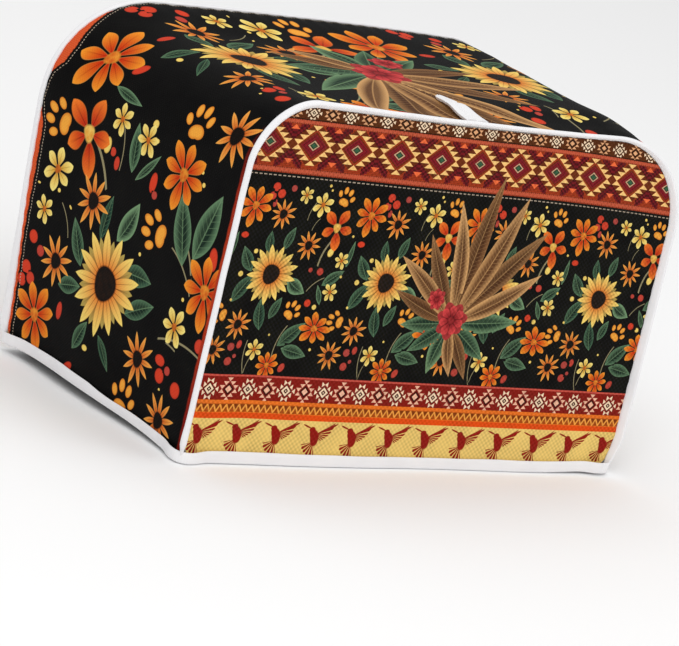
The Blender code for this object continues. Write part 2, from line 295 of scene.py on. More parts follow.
def motifPlaces(corners, slots):
    # each face takes the motif whose edge it is nearest to, and holds its own place within it
    centre = corners.mean(axis=1)
    best = np.full(len(centre), 2.5)
    found = np.zeros(corners.shape[:2] + (3,))
    found[..., 0] = 9.0
    for item in slots:
        turn = math.radians(item.get("turn", 0.0))
        along = np.array([math.cos(turn), math.sin(turn)]) / (item["half"] / 1000)
        across = np.array([-math.sin(turn), math.cos(turn)]) / (item["half"] * item.get("wide", 1.0) / 1000)
        middle = np.array([item["u"], item["v"]]) / 1000
        away = centre - middle
        distance = np.hypot(away @ along, away @ across)
        nearer = distance < best
        best[nearer] = distance[nearer]
        inside = corners[nearer] - middle
        found[nearer] = np.stack(
            [inside @ along, inside @ across, np.full(inside.shape[:2], item.get("tone", 0.5))], axis=-1)
    return found


# shader helper
def paint(red, green, blue):
    # screen colour to the shader's own light values
    values = np.array([red, green, blue]) / 255.0
    linear = np.where(values <= 0.04045, values / 12.92, ((values + 0.055) / 1.055) ** 2.4)
    return tuple(float(v) for v in linear) + (1.0,)


class Field:
    def __init__(self, tree, socket):
        self.tree, self.socket = tree, socket

    def op(self, kind, *others, clamp=False):
        made = self.tree.nodes.new("ShaderNodeMath")
        made.operation, made.use_clamp = kind, clamp
        for slot, item in zip(made.inputs, (self,) + others):
            if isinstance(item, Field):
                self.tree.links.new(item.socket, slot)
            else:
                slot.default_value = item
        return Field(self.tree, made.outputs[0])

    def __add__(self, other):
        return self.op("ADD", other)

    def __sub__(self, other):
        return self.op("SUBTRACT", other)

    def __mul__(self, other):
        return self.op("MULTIPLY", other)

    def __truediv__(self, other):
        return self.op("DIVIDE", other)

    def __pow__(self, other):
        return self.op("POWER", other)

    def size(self):
        return self.op("ABSOLUTE")

    def less(self, other):
        return self.op("LESS_THAN", other)

    def more(self, other):
        return self.op("GREATER_THAN", other)

    def low(self, other):
        return self.op("MINIMUM", other)

    def high(self, other):
        return self.op("MAXIMUM", other)

    def part(self):
        return self.op("FRACT")

    def held(self):
        return self.op("MULTIPLY", 1.0, clamp=True)

    def wave(self, pitch):
        # 0 at each whole pitch and 1 halfway between
        return (((self / pitch).part() - 0.5).size() * -2.0) + 1.0

    def ramp(self, start, run):
        # 0 at the start and 1 a run further on, or before it where the run is below 0
        return ((self - start) / run).held()


def readField(tree, name):
    made = tree.nodes.new("ShaderNodeAttribute")
    made.attribute_type, made.attribute_name = "GEOMETRY", name
    apart = tree.nodes.new("ShaderNodeSeparateXYZ")
    tree.links.new(made.outputs["Vector"], apart.inputs[0])
    return [Field(tree, apart.outputs[k]) for k in range(3)] + [made.outputs["Vector"]]


def blendPaint(tree, factor, under, over):
    made = tree.nodes.new("ShaderNodeMix")
    made.data_type = "RGBA"
    slots = [s for s in made.inputs if s.type == "RGBA"]
    if isinstance(factor, Field):
        tree.links.new(factor.socket, made.inputs[0])
    else:
        made.inputs[0].default_value = factor
    for slot, item in zip(slots, (under, over)):
        if isinstance(item, tuple):
            slot.default_value = item
        else:
            tree.links.new(item, slot)
    return [s for s in made.outputs if s.type == "RGBA"][0]


# motifs of the print, in mm: u and v of the middle, half its length, turn in degrees, width as a share
# of its length, and tone from 0 to 1
motifColumns = ("u", "v", "half", "turn", "wide", "tone")


def motifRows(*rows):
    # what a row leaves out keeps its plain value
    return [dict(zip(motifColumns, row)) for row in rows]


tilePitch = 77.0
frontTile = {
    "sunflowers": motifRows((0, 106.5, 17.5, 5)),
    "orangeFlowers": motifRows((-20, 143.5, 12, 12), (36.5, 78, 12, -20, 0.8), (11, 56, 8.5, 30)),
    "lilies": motifRows((36, 135, 12.5, 25)),
    "smallSunflowers": motifRows(
        (-1, 140, 9, 8), (20, 124, 8.8, 15), (-14, 78, 9, 0), (-26.5, 63.5, 9, 20)),
    "blossoms": motifRows(
        (11.5, 151.5, 5.2, 10), (23.5, 147, 7.6, -6), (-33, 117, 5.4, 20), (41, 99, 5.8, 35),
        (0.5, 64.5, 6.4, 0)),
    "paws": motifRows((37.5, 152, 6.6, -18), (19, 87, 6.6, -35), (-27.5, 83, 6.6, 80)),
    "leaves": motifRows(
        (-17, 114, 8, 120, 0.5, 0.25), (-5, 124, 6.5, 95, 0.45, 0.15), (7, 127, 7, 70, 0.42, 0.3),
        (18, 101, 7.5, -30, 0.6, 0.85), (-16, 98, 10, 55, 0.4, 0.2), (-1, 84, 9, 100, 0.42, 0.12),
        (8, 88, 7, 65, 0.42, 0.3), (41, 107, 8, 35, 0.42, 0.4), (-28, 121, 8, 80, 0.2, 0.55),
        (34, 97, 6, 110, 0.3, 0.6), (22.5, 74, 10.5, 42, 0.42, 0.35), (26.5, 64, 9, -12, 0.46, 0.4)),
    "berries": motifRows(
        (-9, 154.5, 2.5, 0, 1, 0.2), (-5, 151, 2.6, 0, 1, 0.15), (-10.5, 149.5, 2.3, 0, 1, 0.3),
        (-8, 145.5, 2.2, 80, 0.6), (2.5, 154.5, 1.9, 0, 1, 0.7), (-22.5, 127, 2.5, 0, 0.7, 0.1),
        (35.5, 121, 2.6, 70, 0.75, 1.0), (-13, 118.5, 1.4, 0, 1, 1.0), (-19.5, 105.5, 1.6, 0, 1, 1.0),
        (31.5, 110, 2.2, 0, 1, 0.4), (25, 110.5, 1.4, 0, 1, 0.5), (-10, 67, 2.4, 80, 0.7, 0.4),
        (-15, 65.5, 2.3, 0, 1, 0.6), (-15, 57.5, 2.4, 0, 1, 0.5), (21, 55, 2.8, 60, 0.7, 0.4),
        (-11.5, 60.5, 1.2, 0, 1, 0.7), (28, 92, 2.2, 0, 1, 0.1), (33, 90, 1.5, 0, 1, 0.9),
        (26, 157.8, 0.9, 0, 1, 1.0), (27.6, 155.4, 0.7, 0, 1, 1.0), (-31, 108, 0.8, 0, 1, 1.0),
        (-29, 131, 0.8, 0, 1, 1.0), (10, 117, 0.8, 0, 1, 1.0), (37, 66, 0.9, 0, 1, 1.0),
        (-22, 91, 0.8, 0, 1, 1.0), (8, 73, 0.7, 0, 1, 1.0)),
    "stems": motifRows(
        (31.5, 121, 8.5, 68, 1, 0.07), (-5, 60, 9.5, 95, 1, 0.035), (-1.5, 57.5, 6.5, 70, 1, 0.04),
        (15, 70, 9.5, 72, 1, 0.04), (19, 69.5, 6, 40, 1, 0.06), (30, 103, 6.5, 40, 1, 0.045),
        (17, 143, 5.5, 70, 1, 0.045), (21.5, 136, 4, 60, 1, 0.05)),
}
# leaves of the spray: turn, half its length, width and tone
sprayFan = (
    (158, 24, 0.22, 0.15), (140, 31, 0.2, 0.7), (118, 30, 0.2, 0.3), (98, 39, 0.17, 0.95),
    (78, 48, 0.15, 0.2), (63, 47, 0.16, 0.65), (45, 43, 0.17, 0.35), (29, 36, 0.18, 0.9),
    (300, 19, 0.26, 0.3), (284, 17, 0.28, 0.8))
sprayGreens = (
    (184, 18, 0.34, 0.5), (214, 16, 0.36, 0.3), (324, 18, 0.36, 0.35), (4, 25, 0.28, 0.6),
    (254, 16, 0.4, 0.75))


def fanOut(rows, u, v, scale, gap, lean=0.0):
    # leaves that spread from one root
    placed = []
    for heading, half, wide, tone in rows:
        turn = math.radians(heading + lean)
        away = (half + gap) * scale
        middle = (u + away * math.cos(turn), v + away * math.sin(turn))
        placed.append(middle + (half * scale, heading + lean, wide, tone))
    return motifRows(*placed)


def sprayAt(u, v, scale, lean=0.0):
    # the generic spray of long leaves that fills the middle of the cloth
    return {
        "plumesBehind": fanOut(sprayFan[0::2], u, v, scale, 4, lean),
        "plumesInFront": fanOut(sprayFan[1::2], u, v, scale, 2, lean),
        "sprayGreens": fanOut(sprayGreens, u, v, scale, 3, lean),
        "roses": motifRows(
            (u, v + 2 * scale, 13 * scale, 10 + lean),
            (u - 15 * scale, v + 15 * scale, 7.5 * scale, 40 + lean)),
    }


def overlaps(one, other):
    apart = math.hypot(one["u"] - other["u"], one["v"] - other["v"])
    return apart < 0.75 * (one["half"] + other["half"])


def tiled(tile, places):
    # the tile's motifs at each place, without a flower that would lie on one placed before
    layers = {name: [] for name in tile}
    for shiftU, shiftV in places:
        for name, items in tile.items():
            small = name in ("berries", "leaves", "stems")
            for item in items:
                placed = dict(item, u=item["u"] + shiftU, v=item["v"] + shiftV)
                if small or not any(overlaps(placed, other) for other in layers[name]):
                    layers[name].append(placed)
    return layers


frontSpray = {"u": 10, "v": 86, "scale": 0.9}
frontMotifs = tiled(frontTile, [(-118 + tilePitch * k, 0) for k in range(-1, 5)])
frontMotifs.update(sprayAt(**frontSpray))

gussetPitch = 176.0
gussetTile = {
    "sunflowers": motifRows((-7, 62, 31.5, 5)),
    "orangeFlowers": motifRows((40, 140, 20, 12), (78, 88, 21, 30), (-54, 180, 26, -12), (-68, 23, 21, 40)),
    "lilies": motifRows((-46, 136, 24, 35)),
    "smallSunflowers": motifRows(
        (-31, 102, 17, 8), (-55, 59, 16, 0), (72, 172, 18, 15), (34, 34, 16, 20), (62, 10, 16, 0)),
    "blossoms": motifRows(
        (-20, 152, 10, 10), (5, 148, 10.5, 40), (-66, 109, 14, -6), (-72, 84, 9, 20), (60, 62, 12, 35)),
    "paws": motifRows((-72, 136, 13, 78), (40, 169, 12.5, 10), (27, 104, 13, 82)),
    "leaves": motifRows(
        (3, 101, 15, 62, 0.45, 0.85), (-38, 76, 14, 118, 0.42, 0.3), (20, 75, 13, 5, 0.5, 0.2),
        (27, 59, 14, 28, 0.42, 0.25), (-39, 50, 11, 15, 0.5, 0.35), (-16, 97, 14, 80, 0.3, 0.05),
        (49, 113, 20, 108, 0.4, 0.45), (69, 120, 21, 72, 0.42, 0.5), (-22, 165, 14, -8, 0.22, 0.6),
        (-4, 141, 14, 95, 0.36, 0.5), (10, 134, 13, 48, 0.2, 0.65), (-21, 27, 11, 63, 0.46, 0.3),
        (3, 25, 11, -49, 0.3, 0.15)),
    "berries": motifRows(
        (-81, 47, 4.5, 0, 1, 0.1), (-84, 39, 4, 0, 1, 0.15), (-76, 42, 3.8, 0, 1, 0.2),
        (-78, 66, 4, 0, 1, 0.1), (-70, 60, 3.4, 0, 1, 0.4), (17, 128, 6, 85, 0.5, 0.1),
        (79, 106, 6.5, 100, 0.55, 0.1), (-28, 135, 5, 80, 0.65, 1.0), (-17, 128, 4, 90, 0.6, 0.2),
        (-22, 133, 2.6, 0, 1, 0.2), (-28, 181, 6, 40, 0.5, 0.1), (8, 158, 2.5, 0, 1, 0.9),
        (84, 60, 4, 0, 1, 0.2), (20, 122, 2.4, 0, 1, 0.5), (-62, 98, 1.3, 0, 1, 1.0),
        (-80, 97, 1.4, 0, 0.5, 1.0), (-50, 92, 1.5, -40, 0.5, 1.0), (13, 150, 1.3, 0, 1, 1.0),
        (54, 41, 4.5, 0, 0.7, 0.1), (56, 33, 4.2, 0, 1, 0.1), (62, 38, 2.6, 0, 1, 0.5),
        (72, 31, 4.5, 0, 1, 0.1), (-45, 33, 5.5, 85, 0.5, 0.2), (-14, 22, 2.6, 0, 0.7, 1.0),
        (52, 31, 0.9, 0, 1, 1.0), (58, 26, 0.9, 0, 1, 1.0), (58, 140, 1.4, 0, 1, 1.0),
        (55, 146, 1.1, 0, 1, 1.0), (18, 88, 1.2, 0, 1, 1.0), (62, 78, 1.2, 0, 1, 1.0)),
    "stems": motifRows(
        (-30, 124, 15, -52, 1, 0.07), (-15, 139, 14, -80, 1, 0.035), (60, 98, 14, -60, 1, 0.05),
        (56, 92, 15, -40, 1, 0.04), (-52, 84, 10, -60, 1, 0.04), (67, 54, 19, 4, 1, 0.04),
        (62, 50, 11, -12, 1, 0.05)),
}
gussetSpray = {"u": 0, "v": 318, "scale": 1.5, "lean": -60}
gussetMotifs = tiled(gussetTile, [(0, gussetPitch * k) for k in (0, 1, 2, 3, -1)])
# no orange flower by the front seam near the right corner, and one more paw at the left foot
gussetMotifs["orangeFlowers"] = [
    item for item in gussetMotifs["orangeFlowers"] if item["u"] <= 50 or not 425 < item["v"] < 470]
gussetMotifs["paws"] += motifRows((27, 8, 12, -10))
gussetMotifs.update(sprayAt(**gussetSpray))

flowerLooks = {
    "sunflowers": {
        "petals": 13, "rows": ((0.5, 0.84, 0.5), (0.0, 1.0, 1.0)), "core": 0.35, "width": 1.0, "tip": 2.0,
        "root": 0.0, "inner": paint(228, 104, 20), "outer": paint(255, 230, 122),
        "edge": paint(120, 56, 18), "rim": paint(120, 62, 20), "fade": 0.75, "disc": paint(9, 7, 8),
        "discEdge": paint(38, 21, 13), "speckle": 9.0, "spread": 0.05},
    "smallSunflowers": {
        "petals": 10, "rows": ((0.0, 1.0, 1.0),), "core": 0.34, "width": 0.98, "tip": 1.15, "root": 0.0,
        "inner": paint(214, 92, 28), "outer": paint(255, 178, 76), "edge": paint(120, 46, 16),
        "rim": paint(255, 206, 120), "fade": 0.8, "disc": paint(8, 6, 7), "discEdge": paint(24, 14, 10),
        "speckle": 6.0, "spread": 0.07},
    "orangeFlowers": {
        "petals": 8, "rows": ((0.0, 1.0, 1.0),), "core": 0.22, "width": 1.0, "tip": 3.6, "root": 0.13,
        "inner": paint(206, 44, 8), "outer": paint(250, 158, 44), "edge": paint(140, 24, 4),
        "rim": paint(255, 206, 110), "fade": 1.5, "disc": paint(255, 178, 62),
        "discEdge": paint(206, 82, 20), "speckle": 5.0, "spread": 0.09},
    "lilies": {
        "petals": 5, "rows": ((0.0, 1.0, 1.0),), "core": 0.24, "width": 0.94, "tip": 2.6, "root": 0.2,
        "inner": paint(196, 40, 14), "outer": paint(250, 132, 44), "edge": paint(110, 26, 10),
        "rim": paint(255, 160, 70), "fade": 1.5, "disc": paint(255, 226, 120),
        "discEdge": paint(226, 150, 50), "speckle": 5.0, "spread": 0.10},
    "blossoms": {
        "petals": 6, "rows": ((0.0, 1.0, 1.0),), "core": 0.22, "width": 0.98, "tip": 3.2, "root": 0.15,
        "inner": paint(222, 160, 44), "outer": paint(255, 236, 136), "edge": paint(132, 84, 22),
        "rim": paint(255, 240, 170), "fade": 0.9, "disc": paint(236, 130, 44),
        "discEdge": paint(160, 76, 22), "speckle": 4.0, "spread": 0.10},
    "roses": {
        "petals": 7, "rows": ((0.5, 1.0, 0.6), (0.0, 0.8, 1.0)), "core": 0.24, "width": 1.1, "tip": 5.0,
        "root": 0.1, "inner": paint(128, 14, 26), "outer": paint(226, 74, 74), "edge": paint(84, 8, 18),
        "rim": paint(120, 16, 28), "fade": 0.9, "disc": paint(96, 12, 20), "discEdge": paint(170, 46, 48),
        "speckle": 4.0, "spread": 0.05},
}
twoPi = 2.0 * math.pi


def scaled(colour, share):
    return tuple(c * share for c in colour[:3]) + (1.0,)


def paintFlower(tree, under, layer, look, soft):
    x, y, tone, place = readField(tree, layer)
    angle = y.op("ARCTAN2", x)
    distance = (x * x + y * y) ** 0.5
    # petals are not all one length
    uneven = (angle * 3.0 + tone * 9.0).op("SINE") + (angle * 2.0 + 1.0).op("COSINE") * 0.7
    distance = distance * (uneven * look["spread"] + 1.0 + look["spread"])
    for shift, length, bright in look["rows"]:
        sector = (((angle * (look["petals"] / twoPi) + 20.0 + shift).part() - 0.5) * 2.0).size()
        along = distance.ramp(look["core"] * 0.8, length - look["core"] * 0.8)
        width = ((along ** look["tip"]) * -1.0 + 1.0) * look["width"]
        if look["root"] > 0:
            width = width * ((along + 0.02) ** look["root"])
        inside = width - sector
        covers = (inside * distance * soft).held()
        inner, outer, edge, rim = [scaled(look[key], bright) for key in ("inner", "outer", "edge", "rim")]
        colour = blendPaint(tree, along ** look["fade"], inner, outer)
        vein = (sector * -8.0 + 1.0).held() * (along * -1.2 + 1.1).held() * 0.8
        colour = blendPaint(tree, vein, colour, edge)
        hatch = (sector.wave(0.3) * -3.0 + 1.0).held() * (along * -2.2 + 1.0).held() * 0.5
        colour = blendPaint(tree, hatch, colour, edge)
        border = (inside * distance * -14.0 + 1.0).held() * 0.7
        colour = blendPaint(tree, border, colour, rim)
        under = blendPaint(tree, covers, under, colour)
    seeds = tree.nodes.new("ShaderNodeTexVoronoi")
    seeds.inputs["Scale"].default_value = look["speckle"]
    tree.links.new(place, seeds.inputs["Vector"])
    seedField = Field(tree, seeds.outputs["Distance"])
    disc = blendPaint(tree, (seedField * 1.3 - 0.2).held() * 0.8, look["discEdge"], look["disc"])
    disc = blendPaint(tree, ((distance / look["core"]) ** 4.0 * 0.8).held(), disc, scaled(look["disc"], 0.7))
    inDisc = ((distance * -1.0 + look["core"]) * soft).held()
    return blendPaint(tree, inDisc, under, disc)


def paintLeaves(tree, under, layer, dark, light, soft, shade, veins=5.0, curve=0.5):
    x, y, tone, _ = readField(tree, layer)
    round01 = (x * x * -1.0 + 1.0).high(0.0)
    y = y + round01 * (tone - 0.45) * curve
    width = round01 * (x * -0.22 + 0.95)
    sideways = y.size()
    inside = width - sideways
    covers = (inside * soft).held()
    base = blendPaint(tree, tone, dark, light)
    deep = (inside * 1.9 - 0.15).held() * 0.95
    colour = blendPaint(tree, deep, base, scaled(dark, shade))
    colour = blendPaint(tree, y.more(0.0) * 0.07, colour, light)
    rib = ((x * veins - sideways * 1.6).wave(1.0) * -6.0 + 1.0).held() * 0.5
    colour = blendPaint(tree, rib, colour, scaled(light, 0.8))
    middle = (sideways * -14.0 + 1.0).held() * 0.7
    colour = blendPaint(tree, middle, colour, scaled(light, 0.9))
    border = (inside * -9.0 + 1.0).held() * 0.45
    colour = blendPaint(tree, border, colour, light)
    return blendPaint(tree, covers, under, colour)


def oval(x, y, centreX, centreY, radiusX, radiusY, turn=0.0):
    # above 0 inside the oval
    c, s = math.cos(math.radians(turn)), math.sin(math.radians(turn))
    a = x.op("MULTIPLY_ADD", c / radiusX, -(centreX * c + centreY * s) / radiusX) + y * (s / radiusX)
    b = x.op("MULTIPLY_ADD", -s / radiusY, (centreX * s - centreY * c) / radiusY) + y * (c / radiusY)
    return (a * a + b * b) * -1.0 + 1.0


def paintPaws(tree, under, layer, soft):
    x, y, _, _ = readField(tree, layer)
    mirrored = x.size()
    pad = oval(mirrored, y, 0.10, -0.40, 0.42, 0.32, -18)
    toes = oval(mirrored, y, 0.27, 0.56, 0.21, 0.33, -8).high(oval(mirrored, y, 0.68, 0.12, 0.2, 0.30, -26))
    inside = pad.high(toes)
    colour = blendPaint(tree, (inside * 1.4).held(), paint(214, 120, 34), paint(246, 168, 62))
    return blendPaint(tree, (inside * soft * 0.5).held(), under, colour)


def paintBerries(tree, under, layer, soft):
    x, y, tone, _ = readField(tree, layer)
    inside = (x * x + y * y) * -1.0 + 1.0
    red = blendPaint(tree, (tone * 1.6).held(), paint(222, 62, 30), paint(176, 70, 62))
    colour = blendPaint(tree, tone.more(0.85), red, paint(246, 214, 110))
    colour = blendPaint(tree, (inside * -2.0 + 1.0).held() * 0.5, colour, paint(120, 36, 24))
    return blendPaint(tree, (inside * soft * 0.4).held(), under, colour)


def paintStems(tree, under, layer, colour, soft):
    x, y, thick, _ = readField(tree, layer)
    bent = (x * x * -0.16 + 0.08) - y
    inside = (thick - bent.size()) * x.size().less(1.0)
    return blendPaint(tree, (inside * soft * 3.0).held(), under, colour)


bandPaints = {
    "ground": (5, 4, 5), "maroon": (134, 24, 34), "brown": (104, 42, 12), "cream": (255, 206, 128),
    "beige": (222, 178, 140), "green": (56, 96, 66), "saw": (188, 66, 32), "ridge": (238, 150, 120),
    "rust": (170, 58, 24), "shell": (255, 226, 190), "accent": (246, 112, 62), "gold": (88, 42, 12),
    "darkRed": (136, 22, 12), "pink": (250, 192, 160), "redLine": (206, 84, 70), "orange": (240, 118, 34),
    "paleOrange": (255, 170, 72), "deepOrange": (170, 76, 10), "stripe": (234, 80, 12),
    "stripStrong": (226, 92, 46), "yellow": (244, 208, 118), "bird": (150, 22, 12), "dash": (176, 160, 140),
    "tan": (232, 172, 124), "seamRed": (184, 58, 26)}
bandLook = {name: paint(*values) for name, values in bandPaints.items()}


def toothRows(across, up, height, half, step, rows, extra=0.0):
    # rows of triangles beside a diamond, flat side away from the middle, each row further out than the
    # one above; gives how far inside a triangle a place is, in mm, and the row's middle and rise
    row = (up / height).op("FLOOR")
    rise = (up / height).part()
    centre = (row * -1.0 + (rows - 1.0)) * step + row.less(rows - 1.5) * extra
    inside = (rise * half - (across - centre).size()).low((up * -1.0 + rows * height) * 4.0)
    return inside, centre, rise


def geometricBand(tree, u, v, middle, pitch):
    # large diamonds in a row with rows of pale teeth beside their slopes, and stepped arms between them
    ink = bandLook
    across = ((u / pitch).part() - 0.5).size() * pitch
    between = across * -1.0 + pitch / 2
    up = (v - middle).size()
    colour = blendPaint(tree, up.wave(0.9).more(0.6), ink["rust"], scaled(ink["rust"], 0.6))
    stair = (up / 1.375).op("FLOOR") * 1.375 - ((between / 1.6).op("FLOOR") * 1.5 + 4.5)
    arm = (stair + 0.3).size()
    chequer = ((up / 2.75).part() - 0.5) * ((between / 3.2).part() - 0.5)
    colour = blendPaint(tree, arm.less(3.2) * between.less(9.0), colour, scaled(ink["maroon"], 0.75))
    squares = arm.less(3.2) * chequer.more(0.0) * between.less(9.0)
    colour = blendPaint(tree, squares, colour, scaled(ink["maroon"], 0.3))
    accent = (between / 3.1 + (up - 8.2) / 2.9) * -1.0 + 1.0
    colour = blendPaint(tree, (accent * 8.0).held() * up.more(8.2), colour, ink["accent"])
    teeth, centre, rise = toothRows(across, up, 2.75, 3.25, 3.15, 4.0, 1.25)
    shadow = (rise * -3.2 + 3.2) - (across - centre - 3.3).size()
    colour = blendPaint(tree, (shadow * 2.5).held() * up.less(11.0), colour, ink["brown"])
    colour = blendPaint(tree, (teeth * 4.0 + 0.3).held(), colour, ink["cream"])
    square = (between / 3.2 + up / 2.7) * -1.0 + 1.0
    colour = blendPaint(tree, (square * 8.0).held(), colour, scaled(ink["brown"], 1.15))
    nested = across / 10.3 + up / 7.8
    for edge, tint in ((1.0, ink["brown"]), (0.89, ink["maroon"]), (0.47, scaled(ink["maroon"], 0.4)),
                       (0.40, ink["beige"]), (0.305, scaled(ink["green"], 0.25)), (0.21, ink["green"])):
        colour = blendPaint(tree, ((nested * -1.0 + edge) * 16.0).held(), colour, tint)
        if edge == 0.89:
            stitched = (across * 1.3 - up).wave(1.5).more(0.5) * (nested - 0.66).size().less(0.07)
            colour = blendPaint(tree, stitched * 0.85, colour, scaled(ink["maroon"], 0.25))
    return colour


def sawStrip(tree, under, u, v, low, high, pitch, saw, ridge):
    # a strip with fine teeth on its edges and paler ridges along its middle
    teeth = u.wave(pitch) * 0.9
    inside = ((v - low - teeth).low((v * -1.0 + high) - teeth) + 0.5)
    ridged = blendPaint(tree, (u.wave(pitch * 0.5) * 1.6 - 0.5).held() * 0.45, saw, ridge)
    colour = blendPaint(tree, (inside * 1.4).held(), scaled(saw, 0.35), ridged)
    return blendPaint(tree, v.more(low) * v.less(high), under, colour)


def lozenges(tree, under, u, v, look):
    # two small diamonds in turn: a ringed one with columns of triangles, a plain one with rows of them
    cell = (u - look["start"]) / (look["pitch"] * 2)
    y = (v - look["middle"]).size() / look["high"]
    for shift, ink in ((0.5, look["ringed"]), (0.0, look["plain"])):
        x = ((cell + shift).part() - 0.5).size() * (look["pitch"] * 2 / look["wide"])
        nested = x + y
        if shift:
            teeth, _, _ = toothRows(y, x, 2.0, 1.5, 2.3, 3.0)
            ring = (nested - 1.55).low(nested * -1.0 + 3.1)
            shape = teeth.low(nested - 3.75).high(ring).high(nested * -1.0 + 0.6)
            under = blendPaint(tree, nested.less(3.75), under, look["dark"])
        else:
            teeth, _, _ = toothRows(x, y, 2.15, 1.8, 2.15, 3.0)
            shape = teeth.low(nested - 3.6).high(nested * -1.0 + 2.1)
            under = blendPaint(tree, nested.less(3.5), under, look["dark"])
        under = blendPaint(tree, (shape * 5.0 + 0.3).held(), under, ink)
    return under


def birdBorder(tree, u, v, middle, pitch):
    # a small plain bird: body, neck, head, beak, and feathers fanned out as a wing and a tail
    x = (u / pitch).part() * pitch - 9.6
    y = v - middle
    body = oval(x, y, 0.3, 0.9, 3.0, 5.0, 10)
    neck = oval(x, y, -1.2, 3.4, 2.4, 3.8, 17)
    head = oval(x, y, -2.2, 5.7, 2.1, 1.7, 10)
    beak = oval(x, y, -6.0, 7.5, 3.3, 0.5, -20)
    leading = oval(x, y, 7.9, 6.3, 7.5, 0.85, 25)
    fans = []
    for rootX, rootY, heading, spread, longest, shortest, growth, count in (
            (1.0, 3.0, -10, 43, 14.2, 5.4, 2.0, 7.0), (0.1, -1.4, 239, 50, 8.2, 8.0, 1.0, 5.0)):
        turn = math.radians(heading)
        ahead = (x - rootX) * math.cos(turn) + (y - rootY) * math.sin(turn)
        beside = (x - rootX) * -math.sin(turn) + (y - rootY) * math.cos(turn)
        angle = beside.op("ARCTAN2", ahead) * (1.0 / math.radians(spread))
        length = ((angle * 0.5 + 0.5).held() ** growth) * (longest - shortest) + shortest
        far = (ahead * ahead + beside * beside) ** 0.5
        # each feather is rounded at its end
        blade = angle.wave(2.0 / count)
        blades = blade * 1.6 - 0.36 + (far * -0.35 + 1.0).high(0.0)
        fans.append(blades.low(length - far + blade * 0.9 - 0.9).low((angle.size() * -1.0 + 1.0) * 4.0))
    return body.high(neck).high(head).high(beak).high(fans[0].high(fans[1])).high(leading)


def noiseField(tree, place, scale, detail=2.0):
    made = tree.nodes.new("ShaderNodeTexNoise")
    made.inputs["Scale"].default_value = scale
    made.inputs["Detail"].default_value = detail
    tree.links.new(place, made.inputs["Vector"])
    return Field(tree, made.outputs["Fac"])


def wovenPaint(tree, colour, u, v, place, pitch, depth):
    # threads that cross: fine pale dots on the dark and dark dots on the pale, stronger in patches
    dots = (u * (math.pi / pitch)).op("SINE") * (v * (math.pi / pitch) + u * 0.2).op("SINE") * 0.5 + 0.5
    strength = (noiseField(tree, place, 60.0) * 2.2 - 0.5).held() + 0.25
    lit = blendPaint(tree, dots * strength * (depth * 0.09), colour, paint(150, 146, 150))
    return blendPaint(tree, (dots * -1.0 + 1.0) * strength * depth, lit, paint(26, 28, 4)), dots


redRowLook = {
    "start": 10.85, "pitch": 12.62, "middle": 42.1, "wide": 1.0, "high": 1.0,
    "ringed": bandLook["shell"], "plain": bandLook["pink"], "dark": scaled(bandLook["darkRed"], 0.2)}
topRowLook = {
    "start": 11.05, "pitch": 12.525, "middle": 196.6, "wide": 0.88, "high": 0.72,
    "ringed": bandLook["shell"], "plain": bandLook["tan"], "dark": scaled(bandLook["gold"], 0.2)}
# heights on the panel from the hem up, and the start and pitch of what repeats, in mm
bandPlaces = {
    "bird": 15.3, "birdStart": 124.8, "birdPitch": 25.65, "birdTop": 25.8, "stripeTop": 29.0,
    "zigzagFoot": 29.6, "zigzagRise": 3.9, "zigzagPitch": 4.15, "zigzag": 31.55, "weftTop": 36.1,
    "redLine": 49.7, "redTop": 50.3, "stitches": 160.9, "bandFoot": 162.5, "band": 178.7,
    "bandStart": 152.9, "bandPitch": 29.0, "saws": ((162.7, 165.6), (189.9, 192.5)), "sawPitch": 1.5,
    "topLine": 192.3, "topRow": 192.9,
}


def frontBands(tree, colour, u, v):
    # from the hem up: birds, stripe, zigzag, lozenges; above the flowers the wide band and the top row
    ink, at = bandLook, bandPlaces
    stitches = (v - at["stitches"]).size().less(0.3) * u.wave(3.1).less(0.62)
    colour = blendPaint(tree, stitches, colour, ink["dash"])
    band = geometricBand(tree, u + at["bandStart"], v, at["band"], at["bandPitch"])
    colour = blendPaint(tree, v.more(at["bandFoot"]), colour, band)
    for low, high in at["saws"]:
        colour = sawStrip(tree, colour, u, v, low, high, at["sawPitch"], ink["saw"], ink["ridge"])
    top = lozenges(tree, ink["gold"], u, v, topRowLook)
    colour = blendPaint(tree, v.more(at["topLine"]), colour, topRowLook["dark"])
    colour = blendPaint(tree, v.more(at["topRow"]), colour, top)
    red = lozenges(tree, ink["darkRed"], u, v, redRowLook)
    red = blendPaint(tree, (v - at["redLine"]).size().less(0.5), red, ink["redLine"])
    colour = blendPaint(tree, v.less(at["redTop"]), colour, red)
    weft = blendPaint(tree, v.wave(2.6).less(0.3) * 0.6, ink["orange"], ink["deepOrange"])
    rise = (v - at["zigzagFoot"]) / at["zigzagRise"]
    zigzag = (u.wave(at["zigzagPitch"]) - rise).size()
    shaded = zigzag.more(0.3) * rise.more(0.45) * 0.6
    deep = blendPaint(tree, shaded, ink["deepOrange"], scaled(ink["deepOrange"], 0.3))
    deep = blendPaint(tree, (zigzag * -4.0 + 1.4).held(), deep, ink["paleOrange"])
    weft = blendPaint(tree, (v - at["zigzag"]).size().less(2.15), weft, deep)
    colour = blendPaint(tree, v.less(at["weftTop"]), colour, weft)
    colour = blendPaint(tree, v.less(at["stripeTop"]), colour, ink["stripe"])
    bird = birdBorder(tree, u + at["birdStart"], v, at["bird"], at["birdPitch"])
    yellow = blendPaint(tree, (bird * 4.0).held(), ink["yellow"], ink["bird"])
    return blendPaint(tree, v.less(at["birdTop"]), colour, yellow)


